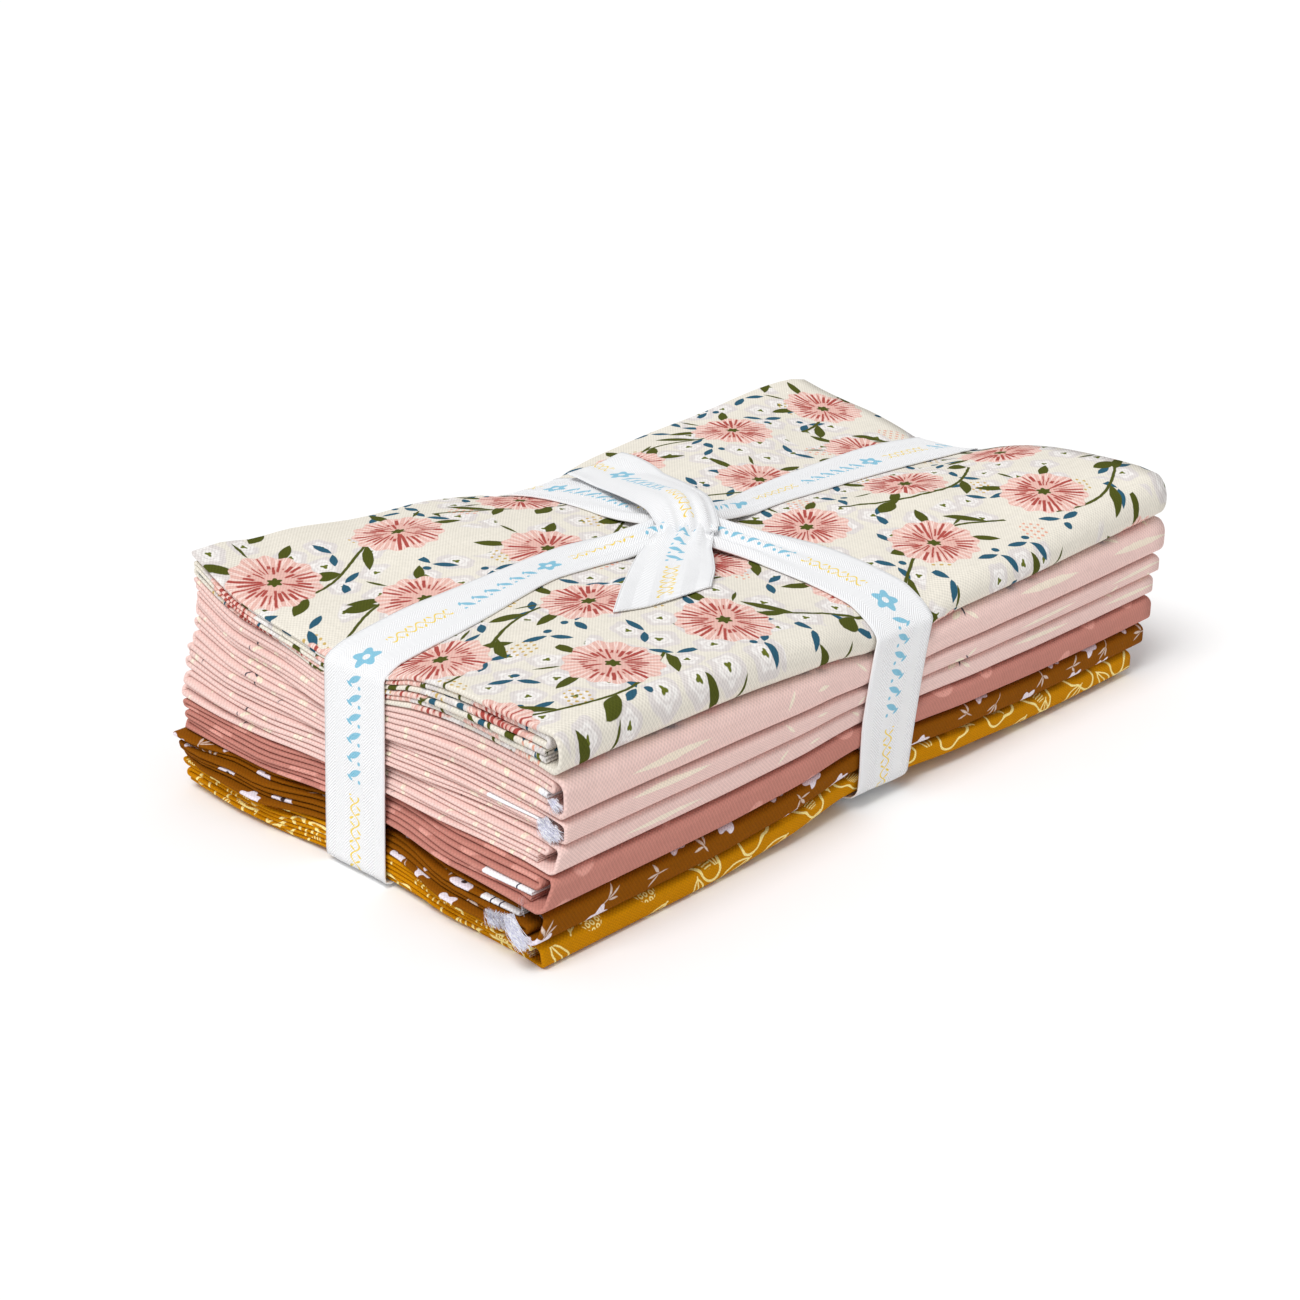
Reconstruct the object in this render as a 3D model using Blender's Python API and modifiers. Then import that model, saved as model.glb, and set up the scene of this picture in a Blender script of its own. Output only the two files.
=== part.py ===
"""A bundle of seven folded quilting cottons, tied like a parcel with one white ribbon.

Units are metres, +Z is up. The long sides run along X, with the outer wraps of the cloths in front
(-Y) and their loops behind (+Y). The origin is on the surface that the bundle lies on, under its
middle. Every piece is first laid out flat and square, and settle() then moves its points to where
the tie and the weight put them.
"""

import math
from collections import namedtuple

import bmesh
import bpy
from mathutils import Matrix, Vector

# Driving sizes of the stack
HALF_LENGTH = 0.117
HALF_WIDTH = 0.068
STACK_HEIGHT = 0.057
GAP_BETWEEN_CLOTHS = 0.0006

# One cloth, doubled over and folded back and forth into six layers
LAYERS = 6
LAYER_THICKNESS = 0.0011
LAYER_PITCH = 0.00136
LOOP_RADIUS = LAYER_PITCH / 2
SELVEDGE_INSET = 0.0042
INNER_LOOP_INSET = 0.0036
BACK_LOOP_STEP = 0.0009
LOOP_STEPS = 4
WRAP_STEPS = 3

# The ribbon
RIBBON_WIDTH = 0.022
RIBBON_THICKNESS = 0.0008
CROSSING_STEP = 0.00005
RIBBON_CLEARANCE = 0.0006
END_CLEARANCE = 0.0006
END_CORNER_RADIUS = 0.0006
END_CORNER_STEPS = 2
BAND_OFFSET_Y = 0.002
HALF_RIBBON = RIBBON_WIDTH / 2

# Where the ribbon presses in, and how far its trough spreads to each side
TROUGH_REACH = 0.037
TOP_DIP_MIDDLE = 0.001
BOTTOM_LIFT_MIDDLE = 0.0016
EDGE_FADE = 3
SIDE_DRAW_IN = 0.0015

# Heights of the top along its four edges: places from left to right, or from front to back
TOP_EDGE = {
    "front": (
        (-0.117, 0.0566), (-0.080, 0.0570), (-0.056, 0.0563), (-0.042, 0.0550), (-0.027, 0.0529),
        (-0.019, 0.0513), (-0.011, 0.0499), (0.011, 0.0497), (0.029, 0.0512), (0.047, 0.0525),
        (0.076, 0.0528), (0.098, 0.0538), (0.117, 0.0545),
    ),
    "back": (
        (-0.117, 0.0630), (-0.105, 0.0634), (-0.096, 0.0612), (-0.081, 0.0607), (-0.061, 0.0588),
        (-0.040, 0.0573), (-0.024, 0.0553), (-0.013, 0.0532), (-0.011, 0.0510), (0.011, 0.0505),
        (0.016, 0.0526), (0.028, 0.0543), (0.047, 0.0558), (0.072, 0.0576), (0.099, 0.0587),
        (0.112, 0.0590), (0.117, 0.0575),
    ),
    "left": (
        (-0.068, 0.0566), (-0.054, 0.0566), (-0.040, 0.0570), (-0.027, 0.0562), (-0.018, 0.0550),
        (-0.013, 0.0540), (-0.009, 0.0516), (0.013, 0.0511), (0.025, 0.0525), (0.040, 0.0548),
        (0.048, 0.0560), (0.056, 0.0583), (0.068, 0.0630),
    ),
    "right": (
        (-0.068, 0.0545), (-0.061, 0.0563), (-0.052, 0.0561), (-0.035, 0.0557), (-0.025, 0.0545),
        (-0.015, 0.0522), (-0.009, 0.0500), (0.000, 0.0488), (0.013, 0.0485), (0.020, 0.0508),
        (0.031, 0.0530), (0.045, 0.0546), (0.060, 0.0562), (0.068, 0.0575),
    ),
}

# How high the lowest cloth stands off the surface along the same edges, and what of that is lost
# where it comes to rest
LOST_IN_RESTING = 0.0006
BOTTOM_EDGE = {
    "front": (
        (-0.117, 0.0), (-0.060, 0.0008), (-0.033, 0.0031), (-0.011, 0.0058), (0.011, 0.0050),
        (0.024, 0.0042), (0.043, 0.0036), (0.062, 0.0023), (0.083, 0.0019), (0.117, 0.0020),
    ),
    "back": (
        (-0.117, 0.0014), (-0.037, 0.0016), (-0.011, 0.0047), (0.011, 0.0047), (0.037, 0.0018),
        (0.117, 0.0018),
    ),
    "left": (
        (-0.068, 0.0), (-0.030, 0.0005), (-0.009, 0.0024), (0.013, 0.0024), (0.035, 0.0008),
        (0.068, 0.0014),
    ),
    "right": (
        (-0.068, 0.0020), (-0.030, 0.0024), (-0.009, 0.0034), (0.013, 0.0034), (0.037, 0.0022),
        (0.068, 0.0018),
    ),
}

# The upper cloths take up a raised corner, and the topmost ones a dip under the ribbon
RAISED_FROM = 0.3
RAISED_OVER = 0.55
RAISED_SHARE = 0.6
DIP_POWER = 3
LIFT_POWER = 2
PUFF_POWER = 5

# Under the ribbon the top's front edge is pressed round
PRESSED_FRONT = 0.0027
PRESSED_REACH = 0.011
PRESSED_FADE = 3

# The puffed quarter at the front right
PUFF_HEIGHT = 0.0030
PUFF_CENTRE = (0.108, -0.045)
PUFF_SPREAD = (0.045, 0.024)

# The short ends: the cloths end free, but the ribbon pulls them to one slanting line
END_STARTS = 0.076
LEFT_LINE = {"top": 0.1122, "bottom": 0.1190}
RIGHT_LINE = {"top": 0.1208, "bottom": 0.1106}

# Both bands run askew, and the knot pulls them aside: places along a band, and its middle there
SIDE_BAND_TOP = (
    (-0.068, 0.0068), (-0.045, 0.0060), (-0.022, 0.0046), (-0.006, -0.0030), (0.068, 0.0005),
)
SIDE_BAND_BOTTOM = ((-0.068, -0.0011), (0.068, -0.0020))
END_BAND_TOP = (
    (-0.117, 0.0041), (-0.076, 0.0034), (-0.048, 0.0056), (-0.028, 0.0046), (-0.010, 0.0),
    (0.031, 0.0040), (0.117, 0.0085),
)
END_BAND_BOTTOM = ((-0.117, -0.0018), (0.117, 0.0085))

# Half the width that each band keeps on top, where the knot gathers it: places along it as above
END_BAND_HALF = (
    (-0.117, 0.0110), (-0.090, 0.0103), (-0.076, 0.0090), (-0.050, 0.0069), (-0.028, 0.0080),
    (-0.010, 0.0065), (0.011, 0.0050), (0.031, 0.0062), (0.060, 0.0082), (0.090, 0.0104),
    (0.117, 0.0110),
)
SIDE_BAND_HALF = (
    (-0.068, 0.0110), (-0.030, 0.0109), (-0.009, 0.0086), (0.013, 0.0088), (0.039, 0.0108),
    (0.068, 0.0110),
)

# Lines across which every piece has points, so that neighbours bend alike
LINES_ACROSS_X = (-HALF_LENGTH, -END_STARTS, -TROUGH_REACH, -HALF_RIBBON)
LINES_ACROSS_X += tuple(-x for x in reversed(LINES_ACROSS_X))
TROUGH_LINES_Y = (
    BAND_OFFSET_Y - TROUGH_REACH,
    BAND_OFFSET_Y - HALF_RIBBON,
    BAND_OFFSET_Y + HALF_RIBBON,
    BAND_OFFSET_Y + TROUGH_REACH,
)
SHOULDER_Y = 0.054
LINES_ACROSS_Y = (-SHOULDER_Y,) + TROUGH_LINES_Y + (SHOULDER_Y,)

Cloth = namedtuple(
    "Cloth",
    "name colour front_share back_share left_front left_back right front_inset back_inset wrap",
)
CLOTHS = (
    Cloth(
        "cloth_gold", (0.55, 0.29, 0.03), 7.0, 8.3, 0.1199, 0.1215, 0.1110, 0.0009, 0.0004, 0.0019
    ),
    Cloth(
        "cloth_brown", (0.27, 0.12, 0.02), 7.2, 7.9, 0.1221, 0.1236, 0.1157, 0.0004, 0.0, 0.0019
    ),
    Cloth(
        "cloth_mauve", (0.42, 0.18, 0.16), 8.0, 7.7, 0.1172, 0.1204, 0.1180, 0.0, 0.0010, 0.0018
    ),
    Cloth(
        "cloth_blush_low", (0.72, 0.43, 0.38), 6.4, 9.0, 0.1133, 0.1200, 0.1189, 0.0006, 0.0, 0.0015
    ),
    Cloth(
        "cloth_blush_mid", (0.72, 0.43, 0.38), 5.8, 8.9, 0.1121, 0.1178, 0.1206, 0.0002, 0.0008, 0.0015
    ),
    Cloth(
        "cloth_blush_top", (0.72, 0.43, 0.38), 10.5, 9.0, 0.1123, 0.1139, 0.1219, 0.0, 0.0004, 0.0022
    ),
    Cloth(
        "cloth_cream", (0.84, 0.79, 0.66), 11.6, 6.2, 0.1131, 0.1133, 0.1221, 0.0005, 0.0, 0.0032
    ),
)

# The knot and the two cut ends of the ribbon
KNOT_CENTRE = (-0.0042, -0.0048)
KNOT_RADII = (0.0128, 0.0098, 0.0062)
KNOT_TURN = math.radians(68)
KNOT_RISE = 0.0038
KNOT_CLEARANCE = 0.0006
KNOT_PINCH = 0.10
KNOT_WAIST = 0.35
KNOT_PLEATS = 3
KNOT_PLEAT_DEPTH = 0.06
KNOT_SEGMENTS = (24, 10)
TAIL_RISE = 0.0010
TAIL_STATIONS = 7
TAIL_WAIST = 0.7

Tail = namedtuple("Tail", "name start end end_slant lift over_ribbon")
TAILS = (
    Tail("tail_front", (-0.0080, -0.0060), (-0.0465, -0.0345), -0.0096, 0.0045, 0.0),
    Tail("tail_back", (-0.0030, 0.0040), (0.0196, 0.0560), -0.0041, 0.0055, 0.0012),
)


# Settling: from the flat layout to the tied bundle


def mix(low, high, share):
    return low + (high - low) * share


def clamp(value, low, high):
    return max(low, min(high, value))


def smooth(share):
    share = clamp(share, 0.0, 1.0)
    return share * share * (3 - 2 * share)


def trough(distance):
    """1 under the ribbon, falling smoothly to 0 where its trough ends."""
    return smooth((TROUGH_REACH - abs(distance)) / (TROUGH_REACH - HALF_RIBBON))


def read_off(table, place):
    """The value at a place of a table, in a straight line between its rows."""
    for (before, low), (after, high) in zip(table, table[1:]):
        if place <= after:
            return mix(low, high, clamp((place - before) / (after - before), 0, 1))
    return table[-1][1]


def stays(distance, half):
    """1 over the trough, falling smoothly to 0 at the bundle's edge."""
    return 1 - smooth((abs(distance) - TROUGH_REACH) / (half - TROUGH_REACH))


def sideways(share_up, x, y):
    """How far the bands' crooked course carries the point at x and y of the flat layout."""
    side_band = mix(read_off(SIDE_BAND_BOTTOM, y), read_off(SIDE_BAND_TOP, y), share_up)
    end_band = mix(read_off(END_BAND_BOTTOM, x), read_off(END_BAND_TOP, x), share_up)
    along_y = (end_band - BAND_OFFSET_Y) * stays(y - BAND_OFFSET_Y, HALF_WIDTH)
    return side_band * stays(x, HALF_LENGTH), along_y


def nearness(distance, half):
    """1 at an edge of the bundle, falling to 0 at its middle."""
    return min(1, abs(distance) / half) ** EDGE_FADE


def from_edges(edges, kept, x, y):
    """A height inside the bundle's outline from the heights along its edges.

    Kept is the share of the corners' heights that is still there in the middle.
    """
    share_right = clamp((x / HALF_LENGTH + 1) / 2, 0, 1)
    share_back = clamp((y / HALF_WIDTH + 1) / 2, 0, 1)
    front = mix(edges["front"][0][1], edges["front"][-1][1], share_right)
    back = mix(edges["back"][0][1], edges["back"][-1][1], share_right)
    left = mix(edges["left"][0][1], edges["left"][-1][1], share_back)
    right = mix(edges["right"][0][1], edges["right"][-1][1], share_back)
    near_x = nearness(x, HALF_LENGTH)
    near_y = nearness(y, HALF_WIDTH)
    height = mix(front, back, share_back) * (1 - (1 - kept) * (1 - near_x) * (1 - near_y))
    if y < 0:
        height += near_y * (read_off(edges["front"], x) - front)
    else:
        height += near_y * (read_off(edges["back"], x) - back)
    if x < 0:
        height += near_x * (read_off(edges["left"], y) - left)
    else:
        height += near_x * (read_off(edges["right"], y) - right)
    return height


def top_height(x, y):
    under_end_band = trough(y - BAND_OFFSET_Y) * (1 - nearness(x, HALF_LENGTH))
    under_side_band = trough(x) * (1 - nearness(y, HALF_WIDTH))
    return from_edges(TOP_EDGE, 1, x, y) - TOP_DIP_MIDDLE * (under_end_band + under_side_band)


def bottom_height(x, y):
    """0 where the bundle rests flat on the surface, more over the ribbon below it."""
    over_ribbon = BOTTOM_LIFT_MIDDLE * max(trough(x), trough(y - BAND_OFFSET_Y))
    return max(over_ribbon, from_edges(BOTTOM_EDGE, 0, x, y) - LOST_IN_RESTING)


def puff(x, y):
    away = ((x - PUFF_CENTRE[0]) / PUFF_SPREAD[0]) ** 2 + ((y - PUFF_CENTRE[1]) / PUFF_SPREAD[1]) ** 2
    return PUFF_HEIGHT * math.exp(-away)


def pressed(x, y):
    """How far the top gives way where the ribbon goes over its front edge."""
    near_edge = smooth((PRESSED_REACH - HALF_WIDTH - y) / PRESSED_REACH)
    return PRESSED_FRONT * near_edge * trough(x) ** PRESSED_FADE


def raised(share_up):
    """How much of a raised corner's height is already there at a share of the way up."""
    return mix(share_up, smooth((share_up - RAISED_FROM) / RAISED_OVER), RAISED_SHARE)


def end_shift(x, y, share_up, cloth):
    """How far the short end moves from its place in the flat layout."""
    lines = LEFT_LINE if x < 0 else RIGHT_LINE
    line = mix(lines["bottom"], lines["top"], clamp(share_up, 0, 1))
    free = line
    if cloth:
        share_back = clamp((y / HALF_WIDTH + 1) / 2, 0, 1)
        free = mix(cloth.left_front, cloth.left_back, share_back) if x < 0 else cloth.right
    reach = mix(free, line, trough(y - BAND_OFFSET_Y)) - HALF_LENGTH
    ramp = clamp((abs(x) - END_STARTS) / (HALF_LENGTH - END_STARTS), 0, 1)
    return reach * ramp * math.copysign(1, x)


def settle(point, cloth=None):
    """Moves one point of the flat layout to its place in the tied bundle."""
    x, y, z = point
    share_up = clamp(z / STACK_HEIGHT, 0, 1)
    over_top = top_height(x, y) - STACK_HEIGHT
    height = z + bottom_height(x, y) * (1 - share_up) ** LIFT_POWER + puff(x, y) * share_up**PUFF_POWER
    height += max(over_top, 0) * raised(share_up)
    height += (min(over_top, 0) - pressed(x, y)) * share_up**DIP_POWER
    along_x, along_y = sideways(share_up, x, y)
    drawn_in = SIDE_DRAW_IN * trough(x) * nearness(y, HALF_WIDTH)
    return Vector(
        (
            x + along_x + end_shift(x, y, share_up, cloth),
            y + along_y - math.copysign(drawn_in, y),
            height,
        )
    )


def laid_flat(x, y, z):
    """The place in the flat layout of a point on top of the tied bundle, near its middle."""
    along_x, along_y = sideways(1, x, y)
    return Vector((x - along_x, y - along_y, z))


# Shared steps


def whole_arc(centre, radius, start, end, steps):
    """Points on an arc between two angles in degrees."""
    angles = [math.radians(mix(start, end, i / steps)) for i in range(steps + 1)]
    return [(centre[0] + radius * math.cos(a), centre[1] + radius * math.sin(a)) for a in angles]


def arc(centre, radius, start, end, steps):
    """The same without its first and last point."""
    return whole_arc(centre, radius, start, end, steps)[1:-1]


def make_material(name, colour):
    material = bpy.data.materials.new(name)
    material.use_nodes = True
    shader = material.node_tree.nodes["Principled BSDF"]
    shader.inputs["Base Color"].default_value = (*colour, 1.0)
    shader.inputs["Roughness"].default_value = 0.9
    shader.inputs["Metallic"].default_value = 0.0
    return material


def new_object(name, mesh, collection):
    obj = bpy.data.objects.new(name, mesh)
    collection.objects.link(obj)
    return obj


def apply_modifiers(obj):
    """Makes the evaluated mesh the object's own."""
    graph = bpy.context.evaluated_depsgraph_get()
    mesh = bpy.data.meshes.new_from_object(obj.evaluated_get(graph))
    obj.modifiers.clear()
    obj.data = mesh


def thicken(obj, thickness):
    solidify = obj.modifiers.new("Thickness", "SOLIDIFY")
    solidify.thickness = thickness
    solidify.offset = 0
    solidify.use_even_offset = True
    apply_modifiers(obj)


def split_alike(mesh):
    """Splits every four-sided face along the same diagonal, so that stacked faces stay parallel."""
    edit = bmesh.new()
    edit.from_mesh(mesh)
    for face in [face for face in edit.faces if len(face.verts) == 4]:
        order = sorted(face.verts, key=lambda vert: vert.co.x + vert.co.y + vert.co.z / 2)
        if not edit.edges.get((order[0], order[-1])):
            bmesh.utils.face_split(face, order[0], order[-1])
    bmesh.ops.recalc_face_normals(edit, faces=edit.faces)
    edit.to_mesh(mesh)
    edit.free()


def settle_mesh(mesh, place=lambda point: point, cloth=None):
    for vert in mesh.vertices:
        vert.co = settle(place(vert.co), cloth)


def swept(name, path, stations, closed, along_x, collection):
    """A thin open surface: a path of pairs, swept over stations along X or along Y."""
    edit = bmesh.new()

    def corner(pair, station):
        return (station, *pair) if along_x else (pair[0], station, pair[1])

    row = [edit.verts.new(corner(pair, stations[0])) for pair in path]
    edges = [edit.edges.new(pair) for pair in zip(row, row[1:])]
    if closed:
        edges.append(edit.edges.new((row[-1], row[0])))
    for before, after in zip(stations, stations[1:]):
        made = bmesh.ops.extrude_edge_only(edit, edges=edges)["geom"]
        step = (after - before, 0, 0) if along_x else (0, after - before, 0)
        moved = [item for item in made if isinstance(item, bmesh.types.BMVert)]
        bmesh.ops.translate(edit, vec=step, verts=moved)
        edges = [item for item in made if isinstance(item, bmesh.types.BMEdge)]
        edges = [edge for edge in edges if all(vert in moved for vert in edge.verts)]
    bmesh.ops.recalc_face_normals(edit, faces=edit.faces)
    mesh = bpy.data.meshes.new(name)
    edit.to_mesh(mesh)
    edit.free()
    return new_object(name, mesh, collection)


# The folded cloths


def layer_height(layer):
    return LAYER_THICKNESS / 2 + (layer - 1) * LAYER_PITCH


def back_loop(lower_layer, inset):
    y = HALF_WIDTH - LAYER_THICKNESS / 2 - LOOP_RADIUS - inset
    return whole_arc((y, layer_height(lower_layer) + LOOP_RADIUS), LOOP_RADIUS, -90, 90, LOOP_STEPS)


def layer_run(layer, backwards):
    """The points of one flat layer between its folds."""
    lines = [(y, layer_height(layer)) for y in LINES_ACROSS_Y]
    return lines if backwards else lines[::-1]


def folded_section(front_inset, back_inset, wrap):
    """The middle line of the doubled cloth, from one selvedge to the other."""
    front = -HALF_WIDTH + LAYER_THICKNESS / 2 + front_inset
    selvedge = -HALF_WIDTH + SELVEDGE_INSET + front_inset
    inner_centre = (-HALF_WIDTH + INNER_LOOP_INSET + front_inset, layer_height(4) + LOOP_RADIUS)
    top_centre = (front + wrap, layer_height(LAYERS) - wrap)
    low_centre = (front + wrap, layer_height(1) + wrap)
    path = [(selvedge, layer_height(3))] + layer_run(3, True)
    path += back_loop(3, back_inset + BACK_LOOP_STEP)
    path += layer_run(4, False) + [(inner_centre[0], layer_height(4))]
    path += arc(inner_centre, LOOP_RADIUS, 270, 90, LOOP_STEPS)
    path += [(inner_centre[0], layer_height(5))] + layer_run(5, True)
    path += back_loop(5, back_inset)
    path += layer_run(6, False) + [(top_centre[0], layer_height(LAYERS))]
    path += arc(top_centre, wrap, 90, 180, WRAP_STEPS)
    path += [(front, top_centre[1]), (front, low_centre[1])]
    path += arc(low_centre, wrap, 180, 270, WRAP_STEPS)
    path += [(low_centre[0], layer_height(1))] + layer_run(1, True)
    path += back_loop(1, back_inset + BACK_LOOP_STEP / 2)
    path += layer_run(2, False) + [(selvedge, layer_height(2))]
    return path


def make_cloth(index, cloth, collection):
    path = folded_section(cloth.front_inset, cloth.back_inset, cloth.wrap)
    obj = swept(cloth.name, path, LINES_ACROSS_X, False, True, collection)
    thicken(obj, LAYER_THICKNESS)
    split_alike(obj.data)
    flat_height = LAYER_THICKNESS + (LAYERS - 1) * LAYER_PITCH

    def place(point):
        share_back = clamp((point.y / HALF_WIDTH + 1) / 2, 0, 1)
        shares = [mix(each.front_share, each.back_share, share_back) for each in CLOTHS]
        unit = (STACK_HEIGHT + GAP_BETWEEN_CLOTHS) / sum(shares)
        base = sum(shares[:index]) * unit
        height = shares[index] * unit - GAP_BETWEEN_CLOTHS
        return Vector((point.x, point.y, base + point.z / flat_height * height))

    settle_mesh(obj.data, place, cloth)
    obj.data.materials.append(make_material(cloth.name, cloth.colour))
    return obj


# The ribbon


def round_long_sides():
    """The ribbon's middle line in front of, over, behind and under the stack, as y and z."""
    off = RIBBON_CLEARANCE + RIBBON_THICKNESS / 2
    low_radius = CLOTHS[0].wrap + LAYER_THICKNESS / 2
    top_radius = CLOTHS[-1].wrap + LAYER_THICKNESS / 2
    back_radius = LOOP_RADIUS + LAYER_THICKNESS / 2
    back_y = HALF_WIDTH - back_radius
    path = []
    corners = (
        ((low_radius - HALF_WIDTH, low_radius), low_radius + off, 270, 180),
        ((top_radius - HALF_WIDTH, STACK_HEIGHT - top_radius), top_radius + off, 180, 90),
        ((back_y, STACK_HEIGHT - back_radius), back_radius + off, 90, 0),
        ((back_y, back_radius), back_radius + off, 0, -90),
    )
    for number, (centre, radius, start, end) in enumerate(corners):
        path += whole_arc(centre, radius, start, end, WRAP_STEPS)
        if number == 1:
            path += [(y, STACK_HEIGHT + off) for y in LINES_ACROSS_Y]
    path += [(y, -off) for y in reversed(LINES_ACROSS_Y)]
    return path


def round_short_ends():
    """The ribbon's middle line round the short ends, as x and z."""
    off = RIBBON_CLEARANCE + RIBBON_THICKNESS / 2 + CROSSING_STEP
    radius = END_CORNER_RADIUS + RIBBON_THICKNESS / 2
    side = HALF_LENGTH + END_CLEARANCE - END_CORNER_RADIUS
    low = off - radius
    high = STACK_HEIGHT + off - radius
    lines = LINES_ACROSS_X[1:-1]
    path = whole_arc((-side, -low), radius, 270, 180, END_CORNER_STEPS)
    path += whole_arc((-side, high), radius, 180, 90, END_CORNER_STEPS)
    path += [(x, STACK_HEIGHT + off) for x in lines]
    path += whole_arc((side, high), radius, 90, 0, END_CORNER_STEPS)
    path += whole_arc((side, -low), radius, 0, -90, END_CORNER_STEPS)
    path += [(x, -off) for x in reversed(lines)]
    return path


def make_band(name, path, stations, along_x, thickness, collection):
    obj = swept(name, path, stations, True, along_x, collection)
    thicken(obj, thickness)
    split_alike(obj.data)

    def place(point):
        spot = point.copy()
        if point.z > STACK_HEIGHT and along_x:
            spot.x *= read_off(SIDE_BAND_HALF, point.y) / HALF_RIBBON
        elif point.z > STACK_HEIGHT:
            kept = read_off(END_BAND_HALF, point.x) / HALF_RIBBON
            spot.y = BAND_OFFSET_Y + (point.y - BAND_OFFSET_Y) * kept
        return spot

    settle_mesh(obj.data, place)
    return obj


def make_knot(collection):
    """A flattened ball, pleated along its length and drawn in a little round its waist."""
    edit = bmesh.new()
    around, along = KNOT_SEGMENTS
    bmesh.ops.create_uvsphere(edit, u_segments=around, v_segments=along, radius=1)
    turn = Matrix.Rotation(KNOT_TURN, 3, "Z")
    for vert in edit.verts:
        waist = 1 - KNOT_PINCH * math.exp(-((vert.co.x / KNOT_WAIST) ** 2))
        pleat = 1 + KNOT_PLEAT_DEPTH * math.cos(KNOT_PLEATS * math.pi * vert.co.y)
        shaped = (vert.co.x, vert.co.y * waist, vert.co.z * waist * pleat)
        vert.co = turn @ Vector([part * radius for part, radius in zip(shaped, KNOT_RADII)])
    mesh = bpy.data.meshes.new("knot")
    edit.to_mesh(mesh)
    edit.free()
    obj = new_object("knot", mesh, collection)
    centre = laid_flat(*KNOT_CENTRE, STACK_HEIGHT + KNOT_RISE)

    def place(point):
        spot = point + centre
        spot.z = max(spot.z, STACK_HEIGHT + KNOT_CLEARANCE)
        return spot

    settle_mesh(mesh, place)
    return obj


def make_tail(tail, collection):
    """A free end of the ribbon: it leaves the knot high and comes down towards its cut end."""
    start = Vector(tail.start)
    end = Vector(tail.end)
    along = (end - start).normalized()
    across = Vector((-along.y, along.x))
    resting = STACK_HEIGHT + TAIL_RISE + tail.over_ribbon + RIBBON_THICKNESS / 2
    edit = bmesh.new()
    rows = []
    for step in range(TAIL_STATIONS):
        share = step / (TAIL_STATIONS - 1)
        row = []
        for side in (-1, 0, 1):
            slant = tail.end_slant * side * share
            width = HALF_RIBBON * mix(TAIL_WAIST, 1.0, smooth(share * 2))
            spot = start.lerp(end, share) + across * side * width + along * slant
            row.append(edit.verts.new(laid_flat(*spot, resting + tail.lift * (1 - share) ** 2)))
        rows.append(row)
    for low, high in zip(rows, rows[1:]):
        for side in (0, 1):
            edit.faces.new((low[side], low[side + 1], high[side + 1], high[side]))
    bmesh.ops.recalc_face_normals(edit, faces=edit.faces)
    mesh = bpy.data.meshes.new(tail.name)
    edit.to_mesh(mesh)
    edit.free()
    obj = new_object(tail.name, mesh, collection)
    thicken(obj, RIBBON_THICKNESS)
    settle_mesh(obj.data)
    return obj


def make_ribbon(collection):
    """Both bands, the knot and the two free ends, joined into one ribbon."""
    ribbon = make_band(
        "ribbon", round_long_sides(), (-HALF_RIBBON, HALF_RIBBON), True, RIBBON_THICKNESS, collection
    )
    band_edges = (BAND_OFFSET_Y - HALF_RIBBON, BAND_OFFSET_Y + HALF_RIBBON)
    end_thickness = RIBBON_THICKNESS - 2 * CROSSING_STEP
    pieces = [make_band("end_band", round_short_ends(), band_edges, False, end_thickness, collection)]
    pieces.append(make_knot(collection))
    pieces += [make_tail(tail, collection) for tail in TAILS]
    for piece in pieces:
        union = ribbon.modifiers.new("Join " + piece.name, "BOOLEAN")
        union.operation = "UNION"
        union.object = piece
    apply_modifiers(ribbon)
    for piece in pieces:
        bpy.data.objects.remove(piece)
    ribbon.data.materials.clear()
    ribbon.data.materials.append(make_material("ribbon", (0.86, 0.87, 0.89)))
    return ribbon


def main():
    for obj in list(bpy.data.objects):
        bpy.data.objects.remove(obj)
    collection = bpy.data.collections.new("fabric_bundle")
    bpy.context.scene.collection.children.link(collection)
    for index, cloth in enumerate(CLOTHS):
        make_cloth(index, cloth, collection)
    make_ribbon(collection)


main()
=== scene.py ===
"""Seven folded quilting cottons tied like a parcel with one white ribbon, with their finished look.

Units are metres, +Z is up, the long sides run along X and the outer wraps are in front (-Y). Every
piece is first laid out flat and square, and settle() then moves its points to where the tie and the
weight put them. Prints and weaves are drawn in millimetres of the flat cloth.
"""

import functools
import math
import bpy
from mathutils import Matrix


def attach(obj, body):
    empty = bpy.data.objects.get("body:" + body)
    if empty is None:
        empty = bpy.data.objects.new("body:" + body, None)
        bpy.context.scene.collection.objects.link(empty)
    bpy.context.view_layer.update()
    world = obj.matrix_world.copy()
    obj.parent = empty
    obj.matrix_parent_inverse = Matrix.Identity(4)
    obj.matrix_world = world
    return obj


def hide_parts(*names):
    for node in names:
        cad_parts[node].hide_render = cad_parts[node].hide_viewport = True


bl_info = {
    "name": "Tied Fabric Bundle",
    "version": (1, 0, 0),
    "blender": (4, 5, 0),
    "location": "View3D > Sidebar > Bundle",
    "description": "Folds seven printed cottons, ties them with a ribbon and lights them",
    "category": "Object",
}

from collections import namedtuple

import bpy
import numpy as np
from bpy.props import FloatProperty, FloatVectorProperty, PointerProperty
from mathutils import Vector

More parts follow.
